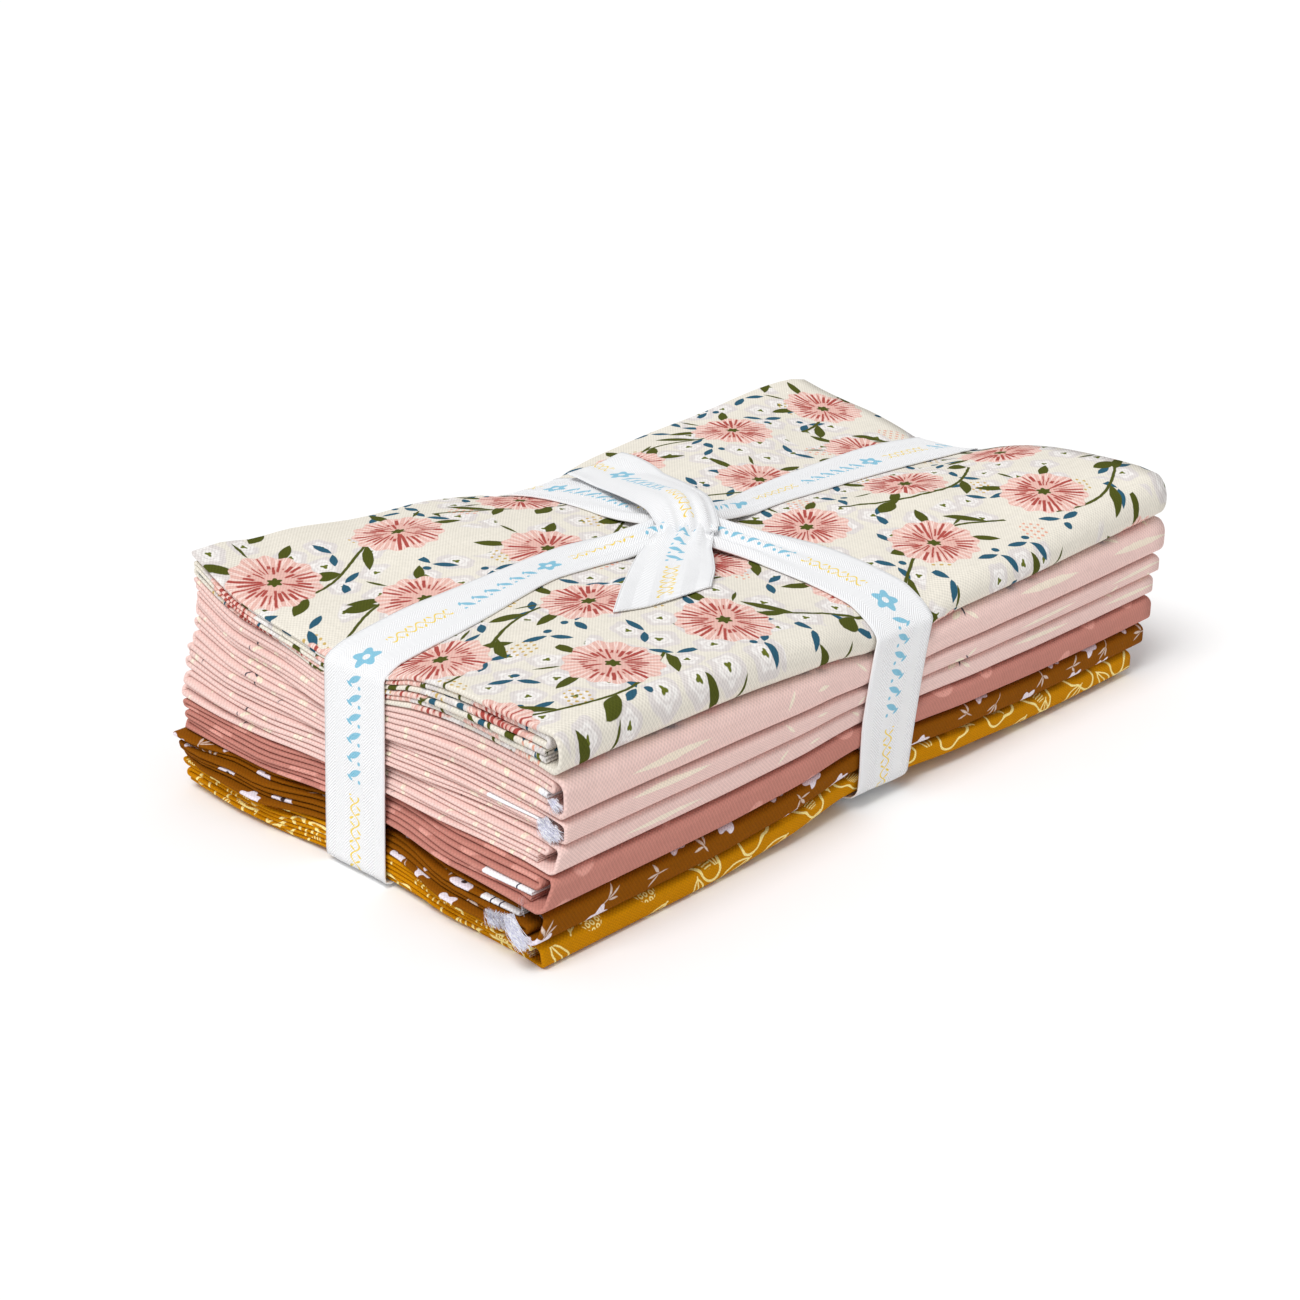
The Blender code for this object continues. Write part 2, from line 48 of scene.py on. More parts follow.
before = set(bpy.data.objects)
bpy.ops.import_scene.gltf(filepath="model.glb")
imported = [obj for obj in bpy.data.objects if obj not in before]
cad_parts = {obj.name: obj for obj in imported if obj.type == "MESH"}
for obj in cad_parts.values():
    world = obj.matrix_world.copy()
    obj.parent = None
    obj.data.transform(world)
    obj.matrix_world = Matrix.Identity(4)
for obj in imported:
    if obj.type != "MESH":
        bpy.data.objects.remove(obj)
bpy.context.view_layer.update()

# Driving sizes of the stack
HALF_LENGTH = 0.117
HALF_WIDTH = 0.068
STACK_HEIGHT = 0.057
GAP_BETWEEN_CLOTHS = 0.0006

# One cloth, doubled over and folded back and forth into six layers
LAYERS = 6
LAYER_THICKNESS = 0.0011
LAYER_PITCH = 0.00136
LOOP_RADIUS = LAYER_PITCH / 2
FLAT_HEIGHT = LAYER_THICKNESS + (LAYERS - 1) * LAYER_PITCH
SELVEDGE_INSET = 0.0056
INNER_LOOP_INSET = 0.0052
BACK_LOOP_STEP = 0.0009

# The ribbon
RIBBON_WIDTH = 0.022
HALF_RIBBON = RIBBON_WIDTH / 2
RIBBON_LIFT = 0.0005
CROSSING_DROP = 0.00058
BAND_OFFSET_Y = 0.002

# Where the ribbon presses in, and how far its trough spreads to each side
TROUGH_REACH = 0.037
TOP_DIP_MIDDLE = 0.001
BOTTOM_LIFT_MIDDLE = 0.0016
EDGE_FADE = 3
SIDE_DRAW_IN = 0.0015

# Heights of the top along its four edges: places from left to right, or from front to back
TOP_EDGE = {
    "front": (
        (-0.117, 0.0566), (-0.080, 0.0570), (-0.056, 0.0563), (-0.042, 0.0550), (-0.027, 0.0529),
        (-0.019, 0.0513), (-0.011, 0.0499), (0.011, 0.0497), (0.029, 0.0512), (0.047, 0.0525),
        (0.076, 0.0528), (0.098, 0.0538), (0.117, 0.0545),
    ),
    "back": (
        (-0.117, 0.0630), (-0.105, 0.0634), (-0.096, 0.0612), (-0.081, 0.0607), (-0.061, 0.0588),
        (-0.040, 0.0573), (-0.024, 0.0553), (-0.013, 0.0532), (-0.011, 0.0510), (0.011, 0.0505),
        (0.016, 0.0526), (0.028, 0.0543), (0.047, 0.0558), (0.072, 0.0576), (0.099, 0.0587),
        (0.112, 0.0590), (0.117, 0.0575),
    ),
    "left": (
        (-0.068, 0.0566), (-0.054, 0.0566), (-0.040, 0.0570), (-0.027, 0.0562), (-0.018, 0.0550),
        (-0.013, 0.0540), (-0.009, 0.0516), (0.013, 0.0511), (0.025, 0.0525), (0.040, 0.0548),
        (0.048, 0.0560), (0.056, 0.0583), (0.068, 0.0630),
    ),
    "right": (
        (-0.068, 0.0545), (-0.061, 0.0563), (-0.052, 0.0561), (-0.035, 0.0557), (-0.025, 0.0545),
        (-0.015, 0.0522), (-0.009, 0.0500), (0.000, 0.0488), (0.013, 0.0485), (0.020, 0.0508),
        (0.031, 0.0530), (0.045, 0.0546), (0.060, 0.0562), (0.068, 0.0575),
    ),
}

# How high the lowest cloth stands off the surface along the same edges, before it comes to rest
BOTTOM_EDGE = {
    "front": (
        (-0.117, 0.0), (-0.060, 0.0008), (-0.033, 0.0031), (-0.011, 0.0058), (0.011, 0.0050),
        (0.024, 0.0042), (0.043, 0.0036), (0.062, 0.0023), (0.083, 0.0019), (0.117, 0.0020),
    ),
    "back": (
        (-0.117, 0.0014), (-0.037, 0.0016), (-0.011, 0.0047), (0.011, 0.0047), (0.037, 0.0018),
        (0.117, 0.0018),
    ),
    "left": (
        (-0.068, 0.0), (-0.030, 0.0005), (-0.009, 0.0024), (0.013, 0.0024), (0.035, 0.0008),
        (0.068, 0.0014),
    ),
    "right": (
        (-0.068, 0.0020), (-0.030, 0.0024), (-0.009, 0.0034), (0.013, 0.0034), (0.037, 0.0022),
        (0.068, 0.0018),
    ),
}
LOST_IN_RESTING = 0.0006

# The upper cloths take up a raised corner, and the topmost ones a dip under the ribbon
RAISED_FROM = 0.3
RAISED_OVER = 0.55
RAISED_SHARE = 0.6
DIP_POWER = 3
LIFT_POWER = 2
PUFF_POWER = 5

# Under the ribbon the top's front edge is pressed round, and the left one a little
PRESSED_FRONT = 0.0027
PRESSED_REACH = 0.011
PRESSED_FADE = 3
PRESSED_LEFT = 0.0009
PRESSED_LEFT_REACH = 0.006

# The puffed quarter at the front right
PUFF_HEIGHT = 0.0030
PUFF_CENTRE = (0.108, -0.045)
PUFF_SPREAD = (0.045, 0.024)

# The short ends: the cloths end free, but the ribbon pulls them to one slanting line
END_STARTS = 0.076
LEFT_LINE = {"top": 0.1122, "bottom": 0.1190}
RIGHT_LINE = {"top": 0.1208, "bottom": 0.1106}

# Both bands run askew, and the knot pulls them aside: places along a band, and its middle there
SIDE_BAND_TOP = (
    (-0.068, 0.0068), (-0.045, 0.0060), (-0.022, 0.0046), (-0.006, -0.0030), (0.068, 0.0005),
)
SIDE_BAND_BOTTOM = ((-0.068, -0.0011), (0.068, -0.0020))
END_BAND_TOP = (
    (-0.117, 0.0041), (-0.076, 0.0034), (-0.048, 0.0056), (-0.028, 0.0046), (-0.010, 0.0),
    (0.031, 0.0040), (0.117, 0.0085),
)
END_BAND_BOTTOM = ((-0.117, -0.0018), (0.117, 0.0085))

# Half the width that each band keeps on top, where the knot gathers it: places along it as above
END_BAND_HALF = (
    (-0.117, 0.0110), (-0.090, 0.0103), (-0.076, 0.0090), (-0.050, 0.0069), (-0.028, 0.0080),
    (-0.010, 0.0065), (0.011, 0.0050), (0.031, 0.0062), (0.060, 0.0082), (0.090, 0.0104),
    (0.117, 0.0110),
)
SIDE_BAND_HALF = (
    (-0.068, 0.0110), (-0.030, 0.0109), (-0.009, 0.0086), (0.013, 0.0088), (0.039, 0.0108),
    (0.068, 0.0110),
)

# The bends in these tables are eased over this length
EASED_OVER = 0.006
FINE_ROWS = 400

# The cloths from below. Each has its shares of the stack's height in front and at the back, how far
# its left end reaches in front and at the back, and its right end, how far its long sides lie back,
# the radius of its wrap and its left end's leans. Its selvedges are in its lower or upper half, a
# little further back than usual, with a white edge and dark marks across it in millimetres.
Cloth = namedtuple(
    "Cloth",
    "name slot front_share back_share left_front left_back right front_inset back_inset wrap"
    " leans selvedges_up selvedge_back white_edge ticks",
)
CLOTHS = (
    Cloth("cloth_gold", "gold_cotton", 7.0, 8.3, 0.1199, 0.1215, 0.1110, 0.0009, 0.0004, 0.0019,
          (0.0012, 0.0006, 0.0020), False, 0.0, 0, ()),
    Cloth("cloth_brown", "brown_cotton", 7.2, 7.9, 0.1221, 0.1236, 0.1157, 0.0004, 0.0, 0.0019,
          (-0.0040, -0.0034, 0.0026), True, 0.0036, 12, (5.8, 8.6)),
    Cloth("cloth_mauve", "mauve_cotton", 8.0, 7.7, 0.1202, 0.1204, 0.1180, 0.0, 0.0010, 0.0018,
          (-0.0044, -0.0008, 0.0), False, 0.0, 16, (4.6,)),
    Cloth("cloth_blush_low", "blush_cotton", 6.4, 9.0, 0.1158, 0.1200, 0.1189, 0.0006, 0.0, 0.0015,
          (-0.0028, -0.0020, -0.0024), False, 0.0010, 0, ()),
    Cloth("cloth_blush_mid", "blush_cotton", 5.8, 8.9, 0.1121, 0.1178, 0.1206, 0.0002, 0.0008, 0.0015,
          (0.0, -0.0030, -0.0036), True, 0.0012, 19, ()),
    Cloth("cloth_blush_top", "blush_cotton", 10.5, 9.0, 0.1123, 0.1139, 0.1219, 0.0, 0.0004, 0.0022,
          (0.0, -0.0004, -0.0006), False, 0.0010, 3, ()),
    Cloth("cloth_cream", "cream_cotton", 11.6, 6.2, 0.1131, 0.1133, 0.1221, 0.0005, 0.0, 0.0032,
          (0.0, 0.0, 0.0), False, 0.0, 0, ()),
)

# How finely the cloths are divided
RUN_STEPS = 28
LOOP_STEPS = 8
WRAP_STEPS = 8
FACE_STEPS = 4
TURN_STEPS = 8
STATION_STEP = 0.0050
FIRST_STATION_STEP = 0.0012
STATION_GROWTH = 1.5

# Soft creases pressed into the top: from one place to another, height and half width
Crease = namedtuple("Crease", "x y to_x to_y height half_width")
CREASES = (
    Crease(-0.030, -0.012, -0.088, -0.046, 0.0010, 0.0050),
    Crease(-0.022, -0.016, -0.052, -0.060, 0.0007, 0.0040),
    Crease(-0.052, -0.010, -0.112, -0.022, 0.0006, 0.0045),
    Crease(0.022, -0.010, 0.078, -0.038, 0.0011, 0.0055),
    Crease(0.022, -0.022, 0.044, -0.060, -0.0008, 0.0045),
    Crease(0.060, -0.016, 0.112, -0.024, 0.0008, 0.0050),
    Crease(0.024, 0.018, 0.074, 0.052, 0.0008, 0.0050),
    Crease(0.050, 0.020, 0.108, 0.032, -0.0006, 0.0050),
    Crease(-0.028, 0.022, -0.078, 0.050, 0.0008, 0.0050),
    Crease(-0.060, 0.024, -0.108, 0.044, -0.0006, 0.0060),
    Crease(0.020, 0.030, 0.030, 0.062, 0.0006, 0.0040),
)

# Each crease fades over this share of its length at both ends
CREASE_FADE = 0.35

# The uneven lie of the layers, and where from front to back the cloths' leans are given
LONGEST_LAYER = 3
END_WAVE = 0.0004
END_WAVE_TURNS = 88
HELD_BY_RIBBON = 0.75
LEAN_PLACES = (0.0, 0.85, 1.0)
EVEN_AT_WRAP = 0.012
LAYER_WAVE = 0.00010
LAYER_WAVE_TURNS_X = 90
LAYER_WAVE_TURNS_Y = 130
WAVE_FADES = 0.010
UNEVEN_SEED = 1


COLOUR = {"subtype": "COLOR", "min": 0.0, "max": 1.0}


class ClothSettings(bpy.types.PropertyGroup):
    """Sizes of the folded cottons."""

    ply: FloatProperty(
        name="Ply", description="Thickness of one ply of the cotton", default=0.00042,
        min=0.0001, max=0.0005, unit="LENGTH",
    )
    end_uneven: FloatProperty(
        name="Uneven ends", description="How far a layer's fold may lie back from the longest one",
        default=0.0011, min=0.0, max=0.004, unit="LENGTH",
    )
    swell: FloatProperty(
        name="Swell", description="Height of the soft waves of the top", default=0.00050,
        min=0.0, max=0.002, unit="LENGTH",
    )
    strand: FloatProperty(
        name="Frayed thread", description="Radius of a frayed thread at a selvedge",
        default=0.00011, min=0.00005, max=0.0003, unit="LENGTH",
    )
    cream: FloatVectorProperty(
        name="Cream", description="Ground of the cream cotton", default=(0.765, 0.722, 0.635), **COLOUR
    )
    blush: FloatVectorProperty(
        name="Blush", description="Ground of the blush cotton", default=(0.815, 0.585, 0.540), **COLOUR
    )
    mauve: FloatVectorProperty(
        name="Mauve", description="Ground of the mauve cotton", default=(0.522, 0.222, 0.180), **COLOUR
    )
    brown: FloatVectorProperty(
        name="Brown", description="Ground of the brown cotton", default=(0.236, 0.074, 0.002), **COLOUR
    )
    gold: FloatVectorProperty(
        name="Gold", description="Ground of the gold cotton", default=(0.560, 0.228, 0.001), **COLOUR
    )


class RibbonSettings(bpy.types.PropertyGroup):
    """Sizes and colours of the ribbon."""

    width: FloatProperty(
        name="Width", description="Width of the flat ribbon", default=RIBBON_WIDTH,
        min=0.01, max=0.03, unit="LENGTH",
    )
    ply: FloatProperty(
        name="Thickness", description="Thickness of the ribbon", default=0.0004,
        min=0.0002, max=0.0005, unit="LENGTH",
    )
    pleat: FloatProperty(
        name="Pleats", description="Depth of the pleats beside the knot", default=0.0013,
        min=0.0, max=0.003, unit="LENGTH",
    )
    white: FloatVectorProperty(
        name="White", description="Colour of the tape", default=(0.935, 0.940, 0.955), **COLOUR
    )
    blue: FloatVectorProperty(
        name="Blue", description="Colour of its blue motifs", default=(0.225, 0.560, 0.740), **COLOUR
    )
    yellow: FloatVectorProperty(
        name="Yellow", description="Colour of its yellow motifs", default=(0.940, 0.680, 0.080), **COLOUR
    )


class StageSettings(bpy.types.PropertyGroup):
    """The camera and the light."""

    azimuth: FloatProperty(
        name="Azimuth", description="Where the camera stands, from the front towards the right",
        default=math.radians(-45.6), subtype="ANGLE",
    )
    elevation: FloatProperty(
        name="Elevation", description="How far the camera looks down",
        default=math.radians(23.2), subtype="ANGLE",
    )
    distance: FloatProperty(
        name="Distance", description="From the camera to the place it looks at",
        default=0.705, min=0.2, unit="LENGTH",
    )
    lens: FloatProperty(
        name="Lens", description="Focal length in millimetres", default=66.46, min=10.0,
    )
    lamp_strength: FloatProperty(
        name="Lamp", description="Strength of the soft, distant lamp", default=1.95, min=0.0,
    )
    lamp_spread: FloatProperty(
        name="Softness", description="How wide the lamp looks from the bundle",
        default=math.radians(32), min=0.0, max=math.radians(120), subtype="ANGLE",
    )
    sky: FloatProperty(
        name="Sky", description="Strength of the white surroundings", default=0.56, min=0.0,
    )


# Settling: from the flat layout to the tied bundle


def points_of(*parts):
    """Points from one number or list for each of their axes."""
    return np.stack(np.broadcast_arrays(*parts), axis=-1)


def mix(low, high, share):
    return low + (high - low) * share


def smooth(share):
    share = np.clip(share, 0.0, 1.0)
    return share * share * (3 - 2 * share)


@functools.lru_cache(maxsize=None)
def eased_rows(table):
    """A table read closely, with its bends eased and its ends kept."""
    rows = np.array(table)
    spots = np.linspace(rows[0, 0], rows[-1, 0], FINE_ROWS)
    reach = max(1, int(round(EASED_OVER / (spots[1] - spots[0]))))
    kernel = np.hanning(2 * reach + 3)[1:-1]
    padded = np.pad(np.interp(spots, rows[:, 0], rows[:, 1]), reach, "reflect", reflect_type="odd")
    return spots, np.convolve(padded, kernel / kernel.sum(), "valid")


def read_off(table, places):
    return np.interp(places, *eased_rows(table))


def trough(distance):
    """1 under the ribbon, falling smoothly to 0 where its trough ends."""
    return smooth((TROUGH_REACH - np.abs(distance)) / (TROUGH_REACH - HALF_RIBBON))


def stays(distance, half):
    """1 over the trough, falling smoothly to 0 at the bundle's edge."""
    return 1 - smooth((np.abs(distance) - TROUGH_REACH) / (half - TROUGH_REACH))


def fading(distance, reach):
    """1 at no distance, falling smoothly to 0 at reach."""
    return smooth((reach - distance) / reach)


def nearness(distance, half):
    """1 at an edge of the bundle, falling to 0 at its middle."""
    return np.minimum(1, np.abs(distance) / half) ** EDGE_FADE


def share_across(value, half):
    return np.clip((value / half + 1) / 2, 0, 1)


def sideways(share_up, x, y):
    """How far the bands' crooked course carries the point at x and y of the flat layout."""
    side_band = mix(read_off(SIDE_BAND_BOTTOM, y), read_off(SIDE_BAND_TOP, y), share_up)
    end_band = mix(read_off(END_BAND_BOTTOM, x), read_off(END_BAND_TOP, x), share_up)
    along_y = (end_band - BAND_OFFSET_Y) * stays(y - BAND_OFFSET_Y, HALF_WIDTH)
    return side_band * stays(x, HALF_LENGTH), along_y


def along_edge(edge, places, half):
    """The straight line between an edge's corners, and how far the edge rises over it."""
    line = mix(edge[0][1], edge[-1][1], share_across(places, half))
    return line, read_off(edge, places) - line


def from_edges(edges, kept, x, y):
    """A height inside the bundle's outline from the heights along its edges.

    Kept is the share of the corners' heights that is still there in the middle.
    """
    front, over_front = along_edge(edges["front"], x, HALF_LENGTH)
    back, over_back = along_edge(edges["back"], x, HALF_LENGTH)
    _, over_left = along_edge(edges["left"], y, HALF_WIDTH)
    _, over_right = along_edge(edges["right"], y, HALF_WIDTH)
    near_x = nearness(x, HALF_LENGTH)
    near_y = nearness(y, HALF_WIDTH)
    corners_left = 1 - (1 - kept) * (1 - near_x) * (1 - near_y)
    height = mix(front, back, share_across(y, HALF_WIDTH)) * corners_left
    height = height + near_y * np.where(y < 0, over_front, over_back)
    return height + near_x * np.where(x < 0, over_left, over_right)


def creased(x, y):
    """The listed creases: soft ridges, or soft troughs where the height is negative."""
    height = np.zeros_like(x)
    for crease in CREASES:
        run = np.array([crease.to_x - crease.x, crease.to_y - crease.y])
        length = np.linalg.norm(run)
        run = run / length
        along = ((x - crease.x) * run[0] + (y - crease.y) * run[1]) / length
        beside = (y - crease.y) * run[0] - (x - crease.x) * run[1]
        ends = smooth(along / CREASE_FADE) * smooth((1 - along) / CREASE_FADE)
        height = height + crease.height * ends * np.exp(-((beside / crease.half_width) ** 2))
    return height


def swell(x, y):
    """Soft unevenness of the whole top, little of it under the ribbon."""
    free = (1 - trough(x)) * (1 - trough(y - BAND_OFFSET_Y))
    waves = np.sin(x * 62 + 1.3) * np.cos(y * 95 - 0.6) + 0.6 * np.sin(x * 141 - y * 118 + 2.1)
    return bpy.context.scene.bundle_cloth.swell * waves * (0.25 + 0.75 * free)


def top_height(x, y):
    under_end_band = trough(y - BAND_OFFSET_Y) * (1 - nearness(x, HALF_LENGTH))
    under_side_band = trough(x) * (1 - nearness(y, HALF_WIDTH))
    return from_edges(TOP_EDGE, 1, x, y) - TOP_DIP_MIDDLE * (under_end_band + under_side_band)


def bottom_height(x, y):
    """0 where the bundle rests flat on the surface, more over the ribbon below it."""
    over_ribbon = BOTTOM_LIFT_MIDDLE * np.maximum(trough(x), trough(y - BAND_OFFSET_Y))
    return np.maximum(over_ribbon, from_edges(BOTTOM_EDGE, 0, x, y) - LOST_IN_RESTING)


def puff(x, y):
    away = ((x - PUFF_CENTRE[0]) / PUFF_SPREAD[0]) ** 2 + ((y - PUFF_CENTRE[1]) / PUFF_SPREAD[1]) ** 2
    return PUFF_HEIGHT * np.exp(-away)


def pressed(x, y):
    """How far the top gives way where the ribbon goes over its front edge and its left one."""
    near_front = smooth((PRESSED_REACH - HALF_WIDTH - y) / PRESSED_REACH)
    near_left = smooth((PRESSED_LEFT_REACH - HALF_LENGTH - x) / PRESSED_LEFT_REACH)
    front = PRESSED_FRONT * near_front * trough(x) ** PRESSED_FADE
    return front + PRESSED_LEFT * near_left * trough(y - BAND_OFFSET_Y) ** PRESSED_FADE


def raised(share_up):
    """How much of a raised corner's height is already there at a share of the way up."""
    return mix(share_up, smooth((share_up - RAISED_FROM) / RAISED_OVER), RAISED_SHARE)


def near_end(x):
    """0 where a short end begins to give way, rising evenly to 1 at the end."""
    return np.clip((np.abs(x) - END_STARTS) / (HALF_LENGTH - END_STARTS), 0, 1)


def end_shift(x, y, share_up, cloth):
    """How far the short end moves from its place in the flat layout."""
    left = mix(LEFT_LINE["bottom"], LEFT_LINE["top"], share_up)
    right = mix(RIGHT_LINE["bottom"], RIGHT_LINE["top"], share_up)
    line = np.where(x < 0, left, right)
    free = line
    if cloth:
        free_left = mix(cloth.left_front, cloth.left_back, share_across(y, HALF_WIDTH))
        free = np.where(x < 0, free_left, cloth.right)
    reach = mix(free, line, trough(y - BAND_OFFSET_Y)) - HALF_LENGTH
    return reach * near_end(x) * np.sign(x)


def settle(points, cloth=None):
    """Moves points of the flat layout to their places in the tied bundle."""
    x, y, z = np.asarray(points, float).T
    share_up = np.clip(z / STACK_HEIGHT, 0, 1)
    over_top = top_height(x, y) - STACK_HEIGHT
    height = z + bottom_height(x, y) * (1 - share_up) ** LIFT_POWER
    height = height + (puff(x, y) + swell(x, y) + creased(x, y)) * share_up**PUFF_POWER
    height = height + np.maximum(over_top, 0) * raised(share_up)
    height = height + (np.minimum(over_top, 0) - pressed(x, y)) * share_up**DIP_POWER
    along_x, along_y = sideways(share_up, x, y)
    drawn_in = SIDE_DRAW_IN * trough(x) * nearness(y, HALF_WIDTH)
    moved_x = x + along_x + end_shift(x, y, share_up, cloth)
    return points_of(moved_x, y + along_y - np.sign(y) * drawn_in, height)


# How many rounds of guessing find the flat place that comes to lie under a point
ROUNDS_BACK = 6


def on_top(x, y):
    """Heights of the top of the tied bundle, near its middle."""
    flat_x, flat_y = x, y
    for _ in range(ROUNDS_BACK):
        along_x, along_y = sideways(1.0, flat_x, flat_y)
        flat_x, flat_y = x - along_x, y - along_y
    flat = points_of(flat_x, flat_y, STACK_HEIGHT)
    return settle(flat.reshape(-1, 3))[:, 2].reshape(flat_x.shape)


def stack_at(index, y):
    """The height of a cloth's underside in the flat layout, and its thickness there."""
    share_back = share_across(y, HALF_WIDTH)
    shares = [mix(each.front_share, each.back_share, share_back) for each in CLOTHS]
    unit = (STACK_HEIGHT + GAP_BETWEEN_CLOTHS) / sum(shares)
    return sum(shares[:index]) * unit, shares[index] * unit - GAP_BETWEEN_CLOTHS


# Meshes


def new_mesh(name, points, quads, place_name, place):
    """An object with smooth faces and, at each point, its place on the flat cloth in millimetres."""
    mesh = bpy.data.meshes.new(name)
    mesh.from_pydata(points.tolist(), [], quads.tolist())
    mesh.validate()
    mesh.shade_smooth()
    attribute = mesh.attributes.new(place_name, "FLOAT_VECTOR", "POINT")
    attribute.data.foreach_set("vector", np.asarray(place, np.float32).ravel())
    obj = bpy.data.objects.new(name, mesh)
    bpy.context.scene.collection.objects.link(obj)
    return obj


def grid_faces(rows, columns, start=0, flip=False):
    """Four-sided faces between neighbouring rows and columns of points."""
    index = np.arange(rows * columns).reshape(rows, columns) + start
    corners = [index[:-1, :-1], index[:-1, 1:], index[1:, 1:], index[1:, :-1]]
    if flip:
        corners.reverse()
    return np.stack(corners, axis=-1).reshape(-1, 4)


def closed_sheet_faces(rows, columns):
    """Both sides of a sheet whose outer and inner points are two grids, and the rim between them."""
    count = rows * columns
    faces = [grid_faces(rows, columns), grid_faces(rows, columns, count, True)]
    index = np.arange(count).reshape(rows, columns)
    rim = np.concatenate([index[0, :-1], index[:-1, -1], index[-1, :0:-1], index[:0:-1, 0]])
    after = np.roll(rim, -1)
    faces.append(np.stack([after, rim, rim + count, after + count], axis=-1))
    return np.concatenate(faces)


def path_lengths(path):
    steps = np.linalg.norm(np.diff(path, axis=0), axis=1)
    return np.concatenate([[0.0], np.cumsum(steps)])


def unit(rows):
    return rows / np.linalg.norm(rows, axis=1)[:, None]


def path_tangents(path):
    return unit(np.gradient(path, axis=0))


def path_normals(path):
    """The side of a flat path that faces out of the bundle along its top layer."""
    tangent = path_tangents(path)
    return points_of(tangent[:, 1], -tangent[:, 0])


def arc(centre, radius, start, end, steps):
    """Points on an arc between two angles in degrees."""
    angles = np.radians(np.linspace(start, end, steps + 1))
    return points_of(centre[0] + radius * np.cos(angles), centre[1] + radius * np.sin(angles))


def resample(rows, step):
    """Rows at even steps along a path. Their first columns, three at most, are the path itself."""
    lengths = path_lengths(rows[:, :3])
    spots = np.linspace(0, lengths[-1], int(round(lengths[-1] / step)) + 1)
    return points_of(*(np.interp(spots, lengths, column) for column in rows.T))


def declare(obj, nodes):
    """Ties a sheet to the frame: what it rides on, and the model's parts it stands for, which are
    hidden.
    """
    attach(obj, "root")
    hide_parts(*nodes)


# The folded cloths


def layer_height(layer):
    return LAYER_THICKNESS / 2 + (layer - 1) * LAYER_PITCH


def folded_section(cloth):
    """The middle line of the doubled cloth from one selvedge to the other, as y and z, and its layer."""
    front = -HALF_WIDTH + LAYER_THICKNESS / 2 + cloth.front_inset
    selvedge = -HALF_WIDTH + SELVEDGE_INSET + cloth.front_inset + cloth.selvedge_back
    inner_y = -HALF_WIDTH + INNER_LOOP_INSET + cloth.front_inset
    wrap_y = front + cloth.wrap
    back = HALF_WIDTH - LAYER_THICKNESS / 2 - LOOP_RADIUS - cloth.back_inset
    rows = []
    layers = []

    def add(points, first, last):
        rows.append(points)
        layers.append(np.linspace(first, last, len(points)))

    def run(layer, start, end):
        y = np.linspace(start, end, RUN_STEPS + 1)[1:-1]
        add(points_of(y, layer_height(layer)), layer, layer)

    def back_turn(lower, step):
        centre = (back - step, layer_height(lower) + LOOP_RADIUS)
        add(arc(centre, LOOP_RADIUS, -90, 90, LOOP_STEPS), lower, lower + 1)

    add(np.array([(selvedge, layer_height(3))]), 3, 3)
    run(3, selvedge, back - BACK_LOOP_STEP)
    back_turn(3, BACK_LOOP_STEP)
    run(4, back - BACK_LOOP_STEP, inner_y)
    add(arc((inner_y, layer_height(4) + LOOP_RADIUS), LOOP_RADIUS, 270, 90, LOOP_STEPS), 4, 5)
    run(5, inner_y, back)
    back_turn(5, 0)
    run(6, back, wrap_y)
    top, low = layer_height(LAYERS) - cloth.wrap, layer_height(1) + cloth.wrap
    face = np.linspace(top, low, FACE_STEPS + 2)[1:-1]
    wrap = np.concatenate([
        arc((wrap_y, top), cloth.wrap, 90, 180, WRAP_STEPS),
        points_of(front, face),
        arc((wrap_y, low), cloth.wrap, 180, 270, WRAP_STEPS),
    ])
    rows.append(wrap)
    layers.append(mix(LAYERS, 1, path_lengths(wrap) / path_lengths(wrap)[-1]))
    run(1, wrap_y, back - BACK_LOOP_STEP / 2)
    back_turn(1, BACK_LOOP_STEP / 2)
    run(2, back - BACK_LOOP_STEP / 2, selvedge)
    add(np.array([(selvedge, layer_height(2))]), 2, 2)
    path, layers = np.concatenate(rows), np.concatenate(layers)
    if cloth.selvedges_up:
        path = points_of(path[:, 0], FLAT_HEIGHT - path[:, 1])
        layers = LAYERS + 1 - layers
    return path, layers


def stations_along():
    """Distances from the folded end to the cut end, close together at the fold."""
    reach = 2 * HALF_LENGTH - LAYER_THICKNESS / 2
    distances = [0.0]
    step = FIRST_STATION_STEP
    while step < STATION_STEP:
        distances.append(distances[-1] + step)
        step *= STATION_GROWTH
    rest = int(math.ceil((reach - distances[-1]) / STATION_STEP))
    return np.concatenate([distances, np.linspace(distances[-1], reach, rest + 1)[1:]])


def unfolded_columns(side_offset, ply):
    """Along the doubled cloth: X, the offset from the middle line, and the length since the cut edge.

    One ply runs from its cut edge at the right to the fold at the left, and the other one back.
    """
    distances = stations_along()
    fold_x = -HALF_LENGTH + LAYER_THICKNESS / 2
    middle = (LAYER_THICKNESS - ply) / 2
    turn = np.linspace(0, math.pi, TURN_STEPS + 1)[1:-1]
    x = np.concatenate([
        fold_x + distances[::-1], fold_x - side_offset * np.sin(turn), fold_x + distances
    ])
    offset = np.concatenate([
        np.full(len(distances), side_offset), side_offset * np.cos(turn),
        np.full(len(distances), -side_offset),
    ])
    total = distances[-1]
    along = np.concatenate([
        total - distances[::-1], total + middle * turn, total + middle * math.pi + distances
    ])
    return x, offset, along


def at_layers(layers, numbers):
    """One number for each whole layer, read off at any layer between them."""
    return np.interp(layers, np.arange(LAYERS + 1), numbers)


